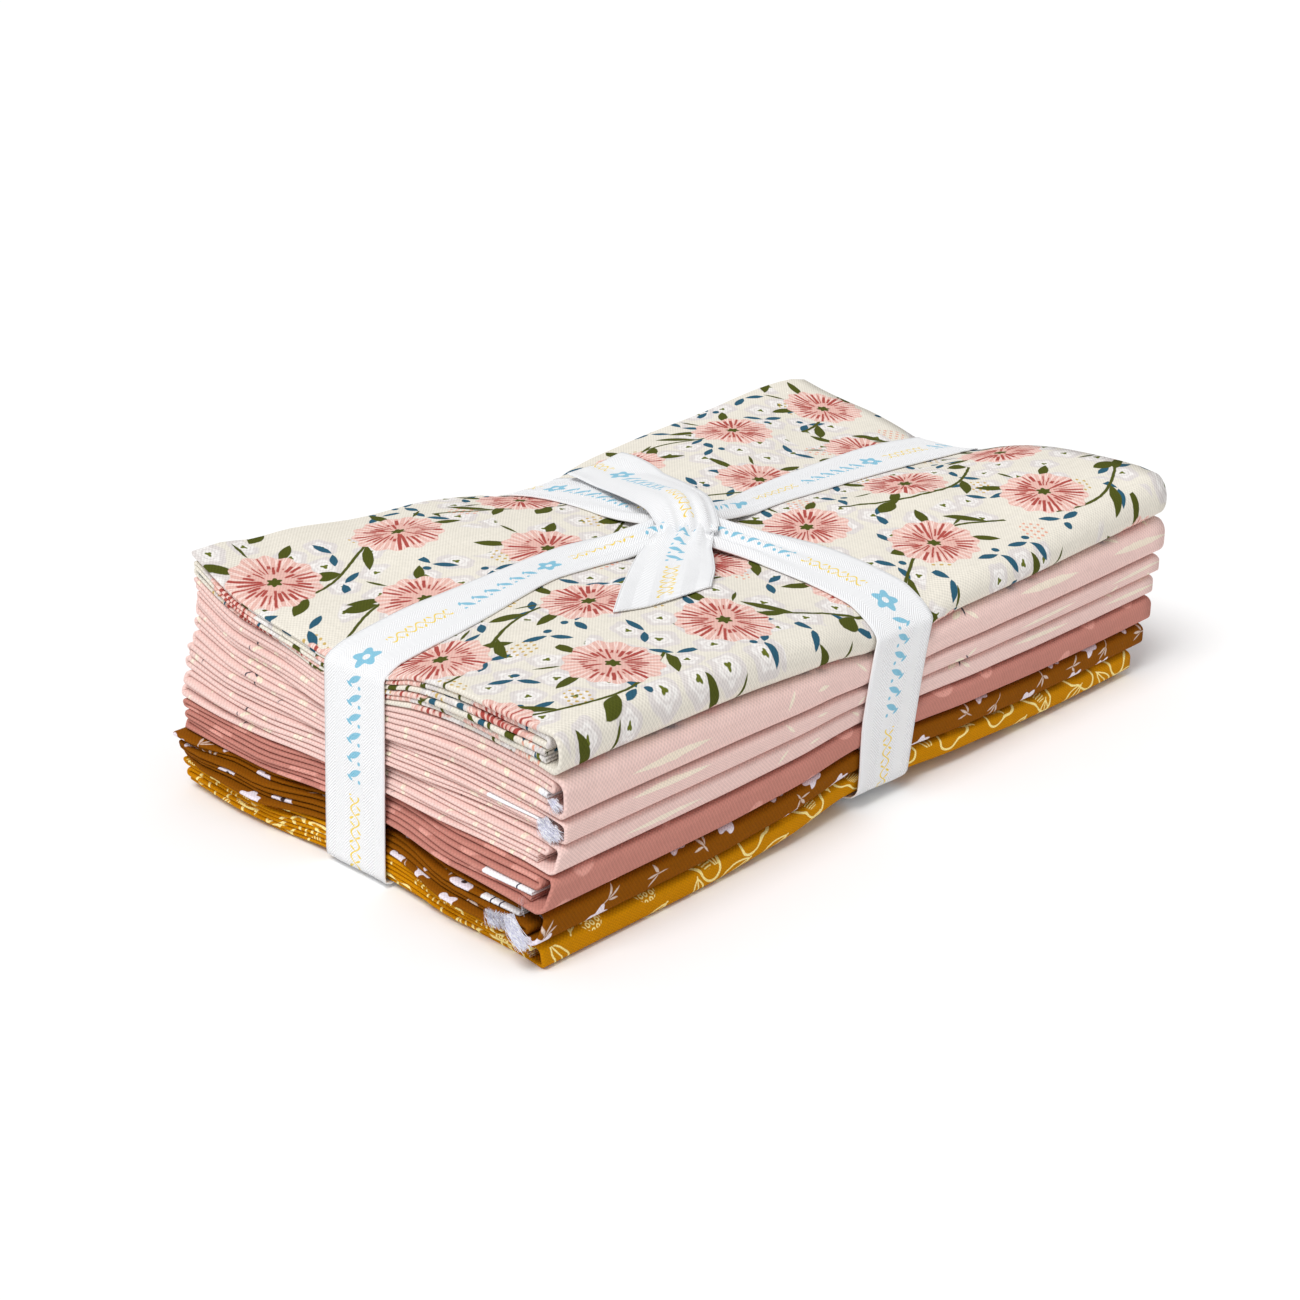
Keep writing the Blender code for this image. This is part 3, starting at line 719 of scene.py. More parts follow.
def leaning(cloth, layers, y):
    """How far each layer lies back where the left end leans: out towards its top, or in if negative."""
    lean = np.interp(share_across(y, HALF_WIDTH), LEAN_PLACES, cloth.leans)
    up = np.clip((layers - 1) / (LAYERS - 1), 0, 1)
    return np.maximum(lean, 0) * (1 - up) + np.maximum(-lean, 0) * up


def uneven_ends(cloth, layers, y, draw):
    """How far each layer's fold lies back from the longest one, changing softly along Y."""
    reach = bpy.context.scene.bundle_cloth.end_uneven
    by_layer = reach * draw.uniform(0, 1, LAYERS + 1)
    by_layer[LAYERS + 1 - LONGEST_LAYER if cloth.selvedges_up else LONGEST_LAYER] = 0
    phase = draw.uniform(0, 2 * math.pi, LAYERS + 1)
    steady = at_layers(layers, by_layer)
    wave = END_WAVE * (1 + np.sin(y * END_WAVE_TURNS + at_layers(layers, phase)))
    held = 1 - HELD_BY_RIBBON * trough(y - BAND_OFFSET_Y)
    return (steady + wave) * held * smooth((y + HALF_WIDTH) / EVEN_AT_WRAP)


def cloth_points(index, cloth, side_offset, ply):
    """The folded cloth's points, one row for each point of its section, and their print places."""
    path, layers = folded_section(cloth)
    draw = np.random.default_rng(UNEVEN_SEED + index)
    tangents = path_tangents(path)
    normals = path_normals(path) * (-1 if cloth.selvedges_up else 1)
    stations, offset, along = unfolded_columns(side_offset, ply)
    left_back = uneven_ends(cloth, layers, path[:, 0], draw)
    left_back = left_back + leaning(cloth, layers, path[:, 0])
    right_back = uneven_ends(cloth, layers, path[:, 0], draw)
    wave = draw.uniform(0, 2 * math.pi, LAYERS + 1)
    y = path[:, 0, None] + normals[:, 0, None] * offset
    z = path[:, 1, None] + normals[:, 1, None] * offset
    x = np.broadcast_to(stations, y.shape)
    inward = np.where(x < 0, left_back[:, None], right_back[:, None])
    x = x - np.sign(x) * inward * near_end(x) ** 2
    shift = at_layers(layers, wave)[:, None]
    wavy = smooth((path[:, 0] + HALF_WIDTH) / WAVE_FADES - 0.5) * np.clip(layers - 1, 0, 1)
    wave_y = np.sin(y * LAYER_WAVE_TURNS_Y + shift * 3)
    z = z + LAYER_WAVE * wavy[:, None] * wave_y * np.cos(x * LAYER_WAVE_TURNS_X + shift)
    base, height = stack_at(index, y)
    laid = points_of(x, y, base + z / FLAT_HEIGHT * height)
    settled = settle(laid.reshape(-1, 3), cloth).reshape(laid.shape)
    fold = int(np.argmin(stations))
    slipped = settled[:, :, 0] - stations
    slipped = slipped - slipped[:, fold:fold + 1]
    from_cut = along + slipped * np.where(np.arange(len(stations)) <= fold, -1, 1)
    from_selvedge = path_lengths(path)[:, None] + tangents[:, 0, None] * (settled[:, :, 1] - y)
    place = points_of(from_cut, from_selvedge, 0.0) * 1000
    return settled.reshape(-1, 3), place.reshape(-1, 3), (len(path), len(stations)), float(along[-1])


def fold_cloth(index, cloth, ply):
    """One cloth as a closed sheet of two plies, and the size it was cut to."""
    outer, place, size, doubled = cloth_points(index, cloth, LAYER_THICKNESS / 2, ply)
    inner, _, _, _ = cloth_points(index, cloth, LAYER_THICKNESS / 2 - ply, ply)
    faces = closed_sheet_faces(*size)
    if cloth.selvedges_up:
        faces = faces[:, ::-1]
    obj = new_mesh(
        cloth.name.replace("cloth", "folded"), np.concatenate([outer, inner]), faces,
        "cloth_place", np.concatenate([place, place]),
    )
    return obj, (doubled, float(path_lengths(folded_section(cloth)[0])[-1]))


# Node building


def maths(operation, swapped=False):
    """A method of Value that adds one Math node."""

    def method(value, *other):
        numbers = (*other, value) if swapped else (value, *other)
        return value.finish.number(operation, *numbers)

    return method


class Value:
    """One number that varies over a surface. Arithmetic on it adds Math nodes."""

    def __init__(self, finish, socket):
        self.finish = finish
        self.socket = socket

    __add__ = __radd__ = maths("ADD")
    __sub__ = maths("SUBTRACT")
    __rsub__ = maths("SUBTRACT", swapped=True)
    __mul__ = __rmul__ = maths("MULTIPLY")
    __truediv__ = maths("DIVIDE")
    __rtruediv__ = maths("DIVIDE", swapped=True)
    __pow__ = maths("POWER")
    __abs__ = maths("ABSOLUTE")
    __gt__ = maths("GREATER_THAN")
    __lt__ = maths("LESS_THAN")
    floor = maths("FLOOR")
    fraction = maths("FRACT")
    sine = maths("SINE")
    cosine = maths("COSINE")
    ping_pong = maths("PINGPONG")


SOFT_EDGE = 0.12


class Finish:
    """A material, built from expressions. Motifs and their soft edges are in millimetres."""

    def __init__(self, name, sheen=0.0):
        self.material = bpy.data.materials.new(name)
        self.material.use_nodes = True
        self.tree = self.material.node_tree
        self.shader = self.tree.nodes["Principled BSDF"]
        self.shader.inputs["Roughness"].default_value = 0.9
        self.shader.inputs["Sheen Weight"].default_value = sheen
        self.shader.inputs["Specular IOR Level"].default_value = 0.06

    def node(self, kind, sockets, **settings):
        """Any node: its settings are set first, then the values or links of its sockets."""
        made = self.tree.nodes.new(kind)
        for name, setting in settings.items():
            setattr(made, name, setting)
        for key, value in sockets.items():
            self.feed(made.inputs[key], value)
        return made

    def feed(self, socket, value):
        if isinstance(value, Value):
            value = value.socket
        if isinstance(value, bpy.types.NodeSocket):
            self.tree.links.new(value, socket)
        elif isinstance(value, tuple) and socket.type == "RGBA":
            socket.default_value = (*value, 1.0)
        else:
            socket.default_value = value

    def painted_glow(self, strength):
        """A painted glow: the threads give off white light of their own, in place of the light that fine
        threads pass on to each other.
        """
        self.shader.inputs["Emission Color"].default_value = (1.0, 1.0, 1.0, 1.0)
        self.shader.inputs["Emission Strength"].default_value = strength

    def finish_with(self, colour, roughness, height, depth):
        """Feeds the shader what changes over the surface. Depth is the bump's, in metres."""
        self.feed(self.shader.inputs["Base Color"], colour)
        self.feed(self.shader.inputs["Roughness"], roughness)
        bump = self.node("ShaderNodeBump", {"Strength": 0.5, "Distance": depth, "Height": height})
        self.feed(self.shader.inputs["Normal"], bump.outputs[0])
        return self.material

    def number(self, operation, *values):
        made = self.node("ShaderNodeMath", dict(enumerate(values)), operation=operation)
        return Value(self, made.outputs[0])

    def most(self, *values):
        return functools.reduce(lambda high, each: self.number("MAXIMUM", high, each), values)

    def ramp(self, value, low, high, first=0.0, last=1.0):
        """Goes softly from first, where value is low, to last, where it is high."""
        made = self.node(
            "ShaderNodeMapRange",
            {"Value": value, "From Min": low, "From Max": high, "To Min": first, "To Max": last},
            interpolation_type="SMOOTHSTEP",
        )
        return Value(self, made.outputs["Result"])

    def inside(self, distance, edge):
        """1 where distance is negative, 0 where it is positive, soft over the edge."""
        return self.ramp(distance, -edge, edge, 1.0, 0.0)

    def blend(self, base, top, mask, way="MIX"):
        sockets = {"Factor": mask, 6: base, 7: top}
        made = self.node("ShaderNodeMix", sockets, data_type="RGBA", blend_type=way)
        return made.outputs[2]

    def painted(self, colour, *layers):
        """A colour with others laid over it, each given with the mask of where it shows."""
        for top, mask in layers:
            colour = self.blend(colour, top, mask)
        return colour

    def darkened(self, colour, factor):
        grey = self.node("ShaderNodeCombineColor", dict.fromkeys(range(3), factor))
        return self.blend(colour, grey.outputs[0], 1.0, "MULTIPLY")

    def split(self, kind, socket):
        """The three numbers of a point or a colour."""
        return [Value(self, output) for output in self.node(kind, {0: socket}).outputs]

    def place(self, name):
        """Along and across the flat cloth, in millimetres, and a third number of the piece."""
        made = self.node("ShaderNodeAttribute", {}, attribute_name=name)
        return self.split("ShaderNodeSeparateXYZ", made.outputs["Vector"])

    def point(self, x, y, z):
        return self.node("ShaderNodeCombineXYZ", {0: x, 1: y, 2: z}).outputs[0]

    def noise(self, x, y, size, detail=2.0, seed=0.0):
        """Soft noise from 0 to 1, with lumps of the given size in millimetres."""
        sockets = {"Vector": self.point(x, y, seed), "Scale": 1 / size, "Detail": detail}
        made = self.node("ShaderNodeTexNoise", sockets, noise_dimensions="3D")
        return Value(self, made.outputs["Fac"])

    def chance(self, x, y, seed):
        """Three random numbers for each whole x and y."""
        sockets = {"Vector": self.point(x, y, seed)}
        made = self.node("ShaderNodeTexWhiteNoise", sockets, noise_dimensions="3D")
        return self.split("ShaderNodeSeparateColor", made.outputs["Color"])

    def turned(self, x, y, cosine, sine):
        """x and y seen from axes turned by the angle of this cosine and sine."""
        return x * cosine + y * sine, y * cosine - x * sine

    def scattered(self, x, y, repeat):
        """A repeat with every second row shifted by half: local x and y, and random numbers."""
        v = y / repeat.height + repeat.shift[1]
        row = v.floor()
        u = x / repeat.width + row * 0.5 + repeat.shift[0]
        column = u.floor()
        first, second, third = self.chance(column, row, repeat.seed)
        local_x = (u - column - 0.5 + (first - 0.5) * repeat.stray) * repeat.width
        local_y = (v - row - 0.5 + (second - 0.5) * repeat.stray) * repeat.height
        angle = (third - 0.5) * (2 * math.pi * repeat.turn)
        local_x, local_y = self.turned(local_x, local_y, angle.cosine(), angle.sine())
        return local_x, local_y, first, second, (third * 7.31).fraction()

    def away(self, x, y):
        return (x * x + y * y) ** 0.5

    def around(self, x, y):
        return self.number("ARCTAN2", y, x)

    def dot(self, x, y, width, height, edge=SOFT_EDGE):
        """An oval of the given half width and half height."""
        return self.inside((self.away(x / width, y / height) - 1) * min(width, height), edge)

    def leaf(self, x, y, length, width):
        """A leaf, pointed at both ends, of the given half length and half width."""
        return self.inside(abs(y) - (1 - (x / length) ** 2) * width, SOFT_EDGE)

    def leaves(self, x, y, *rows):
        """One or several leaves: rows of x, y, degrees, half length and half width."""
        drawn = []
        for leaf_x, leaf_y, degrees, length, width in rows:
            angle = math.radians(degrees)
            turned = self.turned(x - leaf_x, y - leaf_y, math.cos(angle), math.sin(angle))
            drawn.append(self.leaf(*turned, length, width))
        return self.most(*drawn)

    def petals(self, x, y, radius, count, depth, edge=0.15):
        """A flower's outline with the given number of round petals."""
        rim = ((self.around(x, y) * count).cosine() * depth + 1) * radius
        return self.inside(self.away(x, y) - rim, edge)


# Cotton


THREAD = 0.52
SELVEDGE_WHITE = (0.90, 0.91, 0.94)
TICK_BLACK = (0.03, 0.03, 0.06)
TICK_HALF_WIDTH = 0.22
PRINT_WANDER = 0.5
WEAVE_DEPTH = 0.00013


def woven(finish, u, v, thread):
    """The rise of a plain weave: threads go over and under each other by turns."""
    along = (u * (math.pi / thread)).sine()
    across = (v * (math.pi / thread)).sine()
    slub = finish.noise(u, v * 0.15, 0.7, 1.0, 3.0) + finish.noise(u * 0.15, v, 0.7, 1.0, 8.0)
    return along * across * 0.6 + slub * 0.6


def white_selvedges(finish, u, v, colour, cloth):
    """One unprinted edge with dark register marks beside it, and a hair of white at the other."""
    length = path_lengths(folded_section(cloth)[0])[-1] * 1000
    edge = finish.noise(u, v, 1.1, 2.0, 29.0) * 0.5
    first = finish.inside(v + edge - cloth.white_edge, 0.2)
    second = finish.inside(length - v + edge, 0.2)
    marks = [
        (TICK_BLACK, finish.inside(abs(v - tick) - TICK_HALF_WIDTH, 0.08)) for tick in cloth.ticks
    ]
    return finish.painted(colour, (SELVEDGE_WHITE, finish.most(first, second)), *marks)


def cotton(name, ground, draw_print, cloth):
    """Printed plain-weave cotton with white selvedges."""
    finish = Finish(name)
    u, v, _ = finish.place("cloth_place")
    drawn_u = u + (finish.noise(u, v, 2.2, 2.0, 11.0) - 0.5) * PRINT_WANDER
    drawn_v = v + (finish.noise(u, v, 2.2, 2.0, 17.0) - 0.5) * PRINT_WANDER
    colour = draw_print(finish, drawn_u, drawn_v, ground)
    weave = woven(finish, u, v, THREAD)
    soft = finish.noise(u, v, 26.0, 3.0, 5.0)
    colour = white_selvedges(finish, u, v, colour, cloth)
    # darker where the weave's rise is low: painted shade in the hollows between the threads, with the
    # slubs' own tone and a soft random tone
    colour = finish.darkened(colour, soft * 0.08 + 0.86 + weave * 0.20)
    return finish.finish_with(colour, weave * 0.06 + 0.80 + soft * 0.1, weave, WEAVE_DEPTH)


# The prints


# A repeat's width and height in millimetres, the number that its chances grow from, how far its
# motifs stray and how far it is shifted, both as shares of it, and how much of a turn they may make
Repeat = namedtuple("Repeat", "width height seed stray shift turn", defaults=((0.0, 0.0), 1.0))
BLOSSOMS = Repeat(11.2, 10.2, 3.0, 0.35)
SPRAYS = Repeat(33.0, 27.0, 9.0, 0.3, (0.3, 0.4))
LEAF_PAIRS = Repeat(15.0, 12.8, 21.0, 0.4, (0.1, 0.7))
BLOOMS = Repeat(42.0, 33.0, 1.0, 0.08, (0.2, 0.15), 0.45)
SPRIGS = Repeat(31.0, 24.0, 2.0, 0.45)
FLECKS = Repeat(12.0, 9.0, 6.0, 0.5, (0.4, 0.2))
STREAKS = Repeat(46.0, 13.0, 16.0, 0.4, (0.2, 0.1), 0.02)
OVALS = Repeat(21.0, 15.0, 5.0, 0.4)
SPECKS = Repeat(1.9, 1.6, 12.0, 0.5)
FLOWERS = Repeat(16.5, 12.5, 7.0, 0.35)
TWIGS = Repeat(16.5, 12.5, 14.0, 0.3, (0.5, 0.5))
TULIPS = Repeat(19.0, 16.0, 8.0, 0.2)
SEEDS = Repeat(1.7, 1.4, 31.0, 0.2)
LONG_LEAVES = Repeat(14.0, 11.5, 15.0, 0.3, (0.3, 0.6))

# Colours of the motifs, and their sizes in millimetres
BLOSSOM_EDGE = (0.690, 0.645, 0.625)
BLOSSOM_PALE = (0.830, 0.800, 0.775)
BLOSSOM_RING = (0.720, 0.680, 0.660)
BLOSSOM_EYE = (0.13, 0.15, 0.02)
TWIG_GREY = (0.075, 0.068, 0.085)
BUD_CREAM = (0.86, 0.78, 0.62)
FLECK_PALE = (0.87, 0.76, 0.63)
OVAL_PINK = (0.690, 0.330, 0.275)
FLOWER_PALE = (0.80, 0.73, 0.80)
FLOWER_EYE = (0.05, 0.03, 0.03)
TWIG_TAN = (0.64, 0.50, 0.42)
LINE_PALE = (0.97, 0.82, 0.33)
OLIVE = (0.075, 0.085, 0.012)
TEAL = (0.027, 0.102, 0.160)
PETAL_PINK = (0.745, 0.455, 0.395)
PETAL_PALE = (0.870, 0.690, 0.630)
STROKE_ROSE = (0.400, 0.075, 0.062)
DOT_GOLD = (0.580, 0.400, 0.130)
DOT_PINK = (0.750, 0.370, 0.270)
DOT_STEP = 2.1
DOT_ROW = 1.7
BLOOM_SPOKES = 34
BLOOM_RADIUS = 11.8


def pale_blossoms(finish, u, v, colour):
    """Clusters of pale grey blossoms with an olive eye."""
    cluster = finish.noise(u, v, 24.0, 0.0, 41.0)
    x, y, _, second, pick = finish.scattered(u, v, BLOSSOMS)
    here = finish.ramp(cluster, 0.43, 0.45) * (pick > 0.12)
    grown = second * 0.3 + 0.85
    x, y = x / grown, y / grown
    return finish.painted(
        colour,
        (BLOSSOM_EDGE, finish.petals(x, y, 4.6, 5, 0.08, 0.3) * here),
        (BLOSSOM_PALE, finish.petals(x, y, 2.9, 5, 0.14, 0.4) * here),
        (BLOSSOM_RING, finish.inside(abs(finish.away(x, y) - 1.9) - 0.25, 0.2) * here),
        (BLOSSOM_EYE, finish.petals(x, y, 0.8, 3, 0.3) * here),
    )


def dotted_sprays(finish, u, v, colour):
    """Small patches of dots, some gold and some pink."""
    x, y, _, _, pick = finish.scattered(u, v, SPRAYS)
    patch = finish.inside(finish.away(x, y * 1.25) - 4.6, 0.2)
    row = y / DOT_ROW
    beside = (x / DOT_STEP + row.floor() * 0.5).fraction() - 0.5
    above = row.fraction() - 0.5
    dots = finish.dot(beside * DOT_STEP, above * DOT_ROW, 0.52, 0.42, 0.1) * patch
    return finish.painted(
        colour, (DOT_GOLD, dots * (pick > 0.5)), (DOT_PINK, dots * (pick < 0.3))
    )


def teal_leaves(finish, u, v, colour):
    """Pairs of small dark leaves, with a berry now and then."""
    x, y, _, _, pick = finish.scattered(u, v, LEAF_PAIRS)
    pair = finish.leaves(x, y, (3.3, 1.0, 22, 3.3, 1.15), (-3.2, 1.1, 158, 3.1, 1.05))
    berry = finish.dot(x - 0.2, y + 2.8, 1.1, 1.0) * (pick > 0.7)
    return finish.blend(colour, TEAL, finish.most(pair, berry) * (pick > 0.36))


VINE_ROW = 33.0
VINE_PERIOD = 92.0
VINE_SWING = 8.5
VINE_LEAF_STEP = 14.0


def vines(finish, u, v, colour):
    """Long waving stems, each row of them broken here and there, with leaves on both sides."""
    row = (v / VINE_ROW).floor()
    start, _, _ = finish.chance(row, 0.0, 25.0)
    along = u + start * VINE_PERIOD
    across = v - (row + 0.5) * VINE_ROW
    turn = along * (2 * math.pi / VINE_PERIOD)
    beside = across - turn.sine() * VINE_SWING
    steep = turn.cosine() * (VINE_SWING * 2 * math.pi / VINE_PERIOD)
    beside = beside / (steep * steep + 1) ** 0.5
    step = along / VINE_LEAF_STEP
    number = step.floor()
    side = (number * 0.5).fraction() * 4 - 1
    local = (step - number - 0.5) * VINE_LEAF_STEP
    leaf = finish.leaves(local, beside * side, (2.2, 3.2, 36, 4.9, 1.75))
    stem = finish.inside(abs(beside) - 0.46, SOFT_EDGE)
    kept = ((along + row * 17) / 66.0).fraction() < 0.8
    return finish.blend(colour, OLIVE, finish.most(stem, leaf) * kept)


def print_cream(finish, u, v, ground):
    """Round many-petalled blooms on waving vines, over blossoms, small leaves and dots."""
    colour = pale_blossoms(finish, u, v, ground)
    colour = dotted_sprays(finish, u, v, colour)
    colour = teal_leaves(finish, u, v, colour)
    colour = vines(finish, u, v, colour)
    x, y, first, second, _ = finish.scattered(u, v, BLOOMS)
    sepals = finish.leaves(
        x, y, (9.4, -8.6, -40, 4.8, 1.5), (-9.6, -8.2, 220, 4.4, 1.4), (0.6, -13.0, -86, 3.4, 0.5)
    )
    flower_y = y - 2.4
    away = finish.away(x, flower_y)
    whole = finish.petals(x, flower_y, BLOOM_RADIUS, 13, 0.05, 0.2)
    spoke = finish.around(x, flower_y) * (BLOOM_SPOKES / (2 * math.pi)) + first * 5
    number = spoke.floor()
    length, start, weight = finish.chance(number, second * 50, 4.0)
    beside = abs(spoke - number - 0.5) * away * (2 * math.pi / BLOOM_SPOKES)
    pale = finish.inside(abs(beside - 0.74) - 0.18, 0.1) * finish.ramp(away, 4.5, 9.0)
    reach = finish.inside(away - (6.4 + length * 5.6), 0.3)
    reach = reach * finish.ramp(away, 1.6 + start * 4.6, 2.4 + start * 4.6)
    stroke = finish.inside(beside - (0.14 + weight * 0.38), 0.08) * reach
    heart = finish.petals(x, flower_y, 1.8, 6, 0.2)
    return finish.painted(
        colour, (OLIVE, sepals), (PETAL_PINK, whole), (PETAL_PALE, pale * whole * 0.9),
        (STROKE_ROSE, stroke * whole), (OLIVE, heart),
    )


def print_blush(finish, u, v, ground):
    """Small dark forked sprigs with pale buds, and pale flecks."""
    x, y, _, _, _ = finish.scattered(u, v, SPRIGS)
    twigs = finish.leaves(
        x, y, (0.0, -1.8, 88, 2.5, 0.26), (1.3, 1.2, 46, 1.8, 0.30), (-1.0, 1.3, 126, 1.6, 0.28)
    )
    buds = finish.leaves(x, y, (0.2, 4.0, 80, 2.0, 0.8), (3.4, 2.8, 38, 1.7, 0.65))
    x, y, _, _, pick = finish.scattered(u, v, FLECKS)
    fleck = finish.leaf(x, y, 2.3, 0.55) * (pick > 0.55)
    x, y, _, _, pick = finish.scattered(u, v, STREAKS)
    fleck = finish.most(fleck, finish.leaf(x, y, 13.0, 0.8) * (pick > 0.4))
    return finish.painted(ground, (TWIG_GREY, twigs), (BUD_CREAM, buds), (FLECK_PALE, fleck))


def print_mauve(finish, u, v, ground):
    """Scattered speckled ovals in a lighter pink."""
    x, y, first, _, _ = finish.scattered(u, v, OVALS)
    oval = finish.dot(x, y * (first * 0.2 + 0.9), 4.3, 3.3, 0.25)
    speck_x, speck_y, _, _, pick = finish.scattered(u, v, SPECKS)
    speck = finish.dot(speck_x, speck_y, 0.3, 0.18, 0.1) * (pick > 0.55)
    return finish.painted(ground, (OVAL_PINK, oval), (ground, speck * oval * 0.8))


def print_brown(finish, u, v, ground):
    """Small pale five-petalled flowers with a dark eye, and three-leaved twigs."""
    x, y, _, _, pick = finish.scattered(u, v, FLOWERS)
    flower = finish.petals(x, y, 3.1, 5, 0.20, 0.14) * (pick > 0.2)
    eye = finish.dot(x, y, 0.75, 0.6)
    x, y, _, _, pick = finish.scattered(u, v, TWIGS)
    twig = finish.leaves(
        x, y, (0.0, 1.5, 90, 1.8, 0.34), (1.3, 0.8, 46, 1.6, 0.34), (-1.3, 0.8, 134, 1.6, 0.34),
        (0.0, -1.4, 88, 2.0, 0.18),
    )
    return finish.painted(
        ground, (FLOWER_PALE, flower), (FLOWER_EYE, eye * flower),
        (TWIG_TAN, twig * (pick > 0.3) * (1 - flower)),
    )


GOLD_LINE = 0.42


def print_gold(finish, u, v, ground):
    """Pale outlines of tulips, leaves and seed heads."""
    x, y, _, _, pick = finish.scattered(u, v, TULIPS)
    rim = ((finish.around(x, y) * 3).cosine() * 0.26 + 1) * 5.6
    cup = finish.inside(abs(finish.away(x, y) - rim) - GOLD_LINE, 0.1)
    hatch = finish.inside(abs(x.ping_pong(0.7) - 0.35) - 0.15, 0.08)
    hatch = hatch * finish.dot(x, y + 0.6, 3.0, 2.0)
    seed_x, seed_y, _, _, _ = finish.scattered(x, y, SEEDS)
    seeds = finish.inside(abs(finish.away(seed_x, seed_y) - 0.46) - 0.17, 0.08)
    seeds = seeds * finish.dot(x, y, 3.8, 3.2) * (pick < 0.3)
    leaf_x, leaf_y, _, _, leaf_pick = finish.scattered(u, v, LONG_LEAVES)
    bound = abs(leaf_y) - (1 - (leaf_x / 5.6) ** 2) * 1.9
    leaf = finish.inside(abs(bound) - 0.26, 0.1) * finish.inside(abs(leaf_x) - 5.9, 0.1)
    vein = finish.inside(abs(leaf_y) - 0.20, 0.08) * finish.inside(abs(leaf_x) - 6.4, 0.1)
    drawn = finish.most(
        cup * (pick > 0.3), hatch * (pick > 0.6), seeds, finish.most(leaf, vein) * (leaf_pick > 0.3)
    )
    return finish.blend(ground, LINE_PALE, drawn)


PRINTS = {
    "cream": print_cream,
    "blush": print_blush,
    "mauve": print_mauve,
    "brown": print_brown,
    "gold": print_gold,
}


# Frayed threads at the selvedges


# Threads leave the folded end at a layer, a distance behind the selvedge, and head towards the
# front (0 degrees) or straight down (90 degrees). They are spread to both sides and fan out by some
# degrees, gather towards their tips, stand out of the end and curl.
Tuft = namedtuple("Tuft", "cloth layer behind spread strands length heading fan gather stand_out curl")
TUFTS = (
    Tuft("cloth_brown", 4.2, 0.0084, 0.0038, 200, 0.0036, 74, 9, 0.15, 0.0007, 0.00012),
    Tuft("cloth_brown", 4.9, 0.0036, 0.0018, 300, 0.0090, 44, 7, 0.30, 0.0012, 0.00012),
    Tuft("cloth_blush_mid", 4.8, 0.0022, 0.0022, 260, 0.0058, 40, 8, 0.10, 0.0010, 0.00016),
    Tuft("cloth_blush_mid", 4.0, -0.0012, 0.0014, 110, 0.0034, 52, 16, 0.0, 0.0007, 0.00022),
    Tuft("cloth_blush_top", 3.0, -0.0010, 0.0015, 110, 0.0034, 50, 14, 0.0, 0.0002, 0.00016),
    Tuft("cloth_mauve", 2.6, 0.0014, 0.0010, 9, 0.0050, 84, 3, 0.0, 0.0004, 0.00010),
)
STRAND_STEPS = 7
STRAND_SIDES = 5
STRAND_TAPER = 0.4
TUFT_SEED = 100
ROOTS_BEHIND_END = (-0.0003, 0.0010)
ROOTS_UP_AND_DOWN = 0.00025
ROOTS_FLATTENED = np.array([1, 1, 0.45])
LENGTH_SHARES = (0.6, 1.0)
STAND_OUT_SHARES = (0.3, 1.4)
STAND_OUT_BEND = 2.4
CURL_BEND = 4.5
THREAD_SHADE = (0.66, 0.66, 0.80)
THREAD_WHITE = (0.97, 0.97, 1.0)


def fray_tuft(number, tuft, radius):
    """Loose threads that stand out of the folded end beside a selvedge."""
    draw = np.random.default_rng(TUFT_SEED + number)
    index = [cloth.name for cloth in CLOTHS].index(tuft.cloth)
    cloth = CLOTHS[index]
    root_y = -HALF_WIDTH + SELVEDGE_INSET + cloth.front_inset + tuft.behind
    base, height = stack_at(index, root_y)
    root_z = base + layer_height(tuft.layer) / FLAT_HEIGHT * height
    share = np.linspace(0, 1, STRAND_STEPS)[:, None]
    angles = np.arange(STRAND_SIDES) * 2 * math.pi / STRAND_SIDES
    ring = points_of(np.cos(angles), np.cos(angles), np.sin(angles))
    middle_heading = math.radians(tuft.heading)
    across = np.array([0.0, math.sin(middle_heading), -math.cos(middle_heading)])
    points, faces = [], []
    strand_faces = grid_faces(STRAND_STEPS, STRAND_SIDES + 1)
    row, side = np.divmod(strand_faces, STRAND_SIDES + 1)
    strand_faces = row * STRAND_SIDES + side % STRAND_SIDES
    for strand in range(tuft.strands):
        beside = draw.uniform(-1, 1) * tuft.spread
        heading = math.radians(tuft.heading + draw.normal(0, tuft.fan))
        root_x = -HALF_LENGTH + draw.uniform(*ROOTS_BEHIND_END)
        root = np.array([root_x, root_y, root_z + draw.normal(0, ROOTS_UP_AND_DOWN)])
        root = root + across * beside * ROOTS_FLATTENED
        direction = np.array([0.0, -math.cos(heading), -math.sin(heading)])
        length = tuft.length * draw.uniform(*LENGTH_SHARES)
        out = np.array([-1.0, 0, 0]) * tuft.stand_out * draw.uniform(*STAND_OUT_SHARES)
        middle = root + direction * length * share + out * np.sin(share * STAND_OUT_BEND)
        middle = middle - across * beside * tuft.gather * share
        middle = middle + draw.normal(0, tuft.curl, 3) * np.sin(share * CURL_BEND)
        points.append(middle[:, None, :] + ring * radius * (1 - STRAND_TAPER * share[:, :, None]))
        faces.append(strand_faces + strand * STRAND_STEPS * STRAND_SIDES)
    points = settle(np.concatenate(points).reshape(-1, 3), cloth)
    name = tuft.cloth.replace("cloth", f"threads_{number}")
    return new_mesh(name, points, np.concatenate(faces), "cloth_place", points * 1000), cloth


def thread_finish():
    finish = Finish("selvedge_threads")
    # painted glow: the threads give off a little white light of their own, lifting the shade between
    # them
    finish.painted_glow(0.06)
    x, y, z = finish.place("cloth_place")
    tone = finish.ramp(finish.noise(x + z * 0.7, y - z * 0.7, 0.42, 1.0, 2.0), 0.36, 0.62)
    colour = finish.blend(THREAD_SHADE, THREAD_WHITE, tone)
    return finish.finish_with(colour, tone * 0.1 + 0.75, tone, 0.0001)


# The ribbon


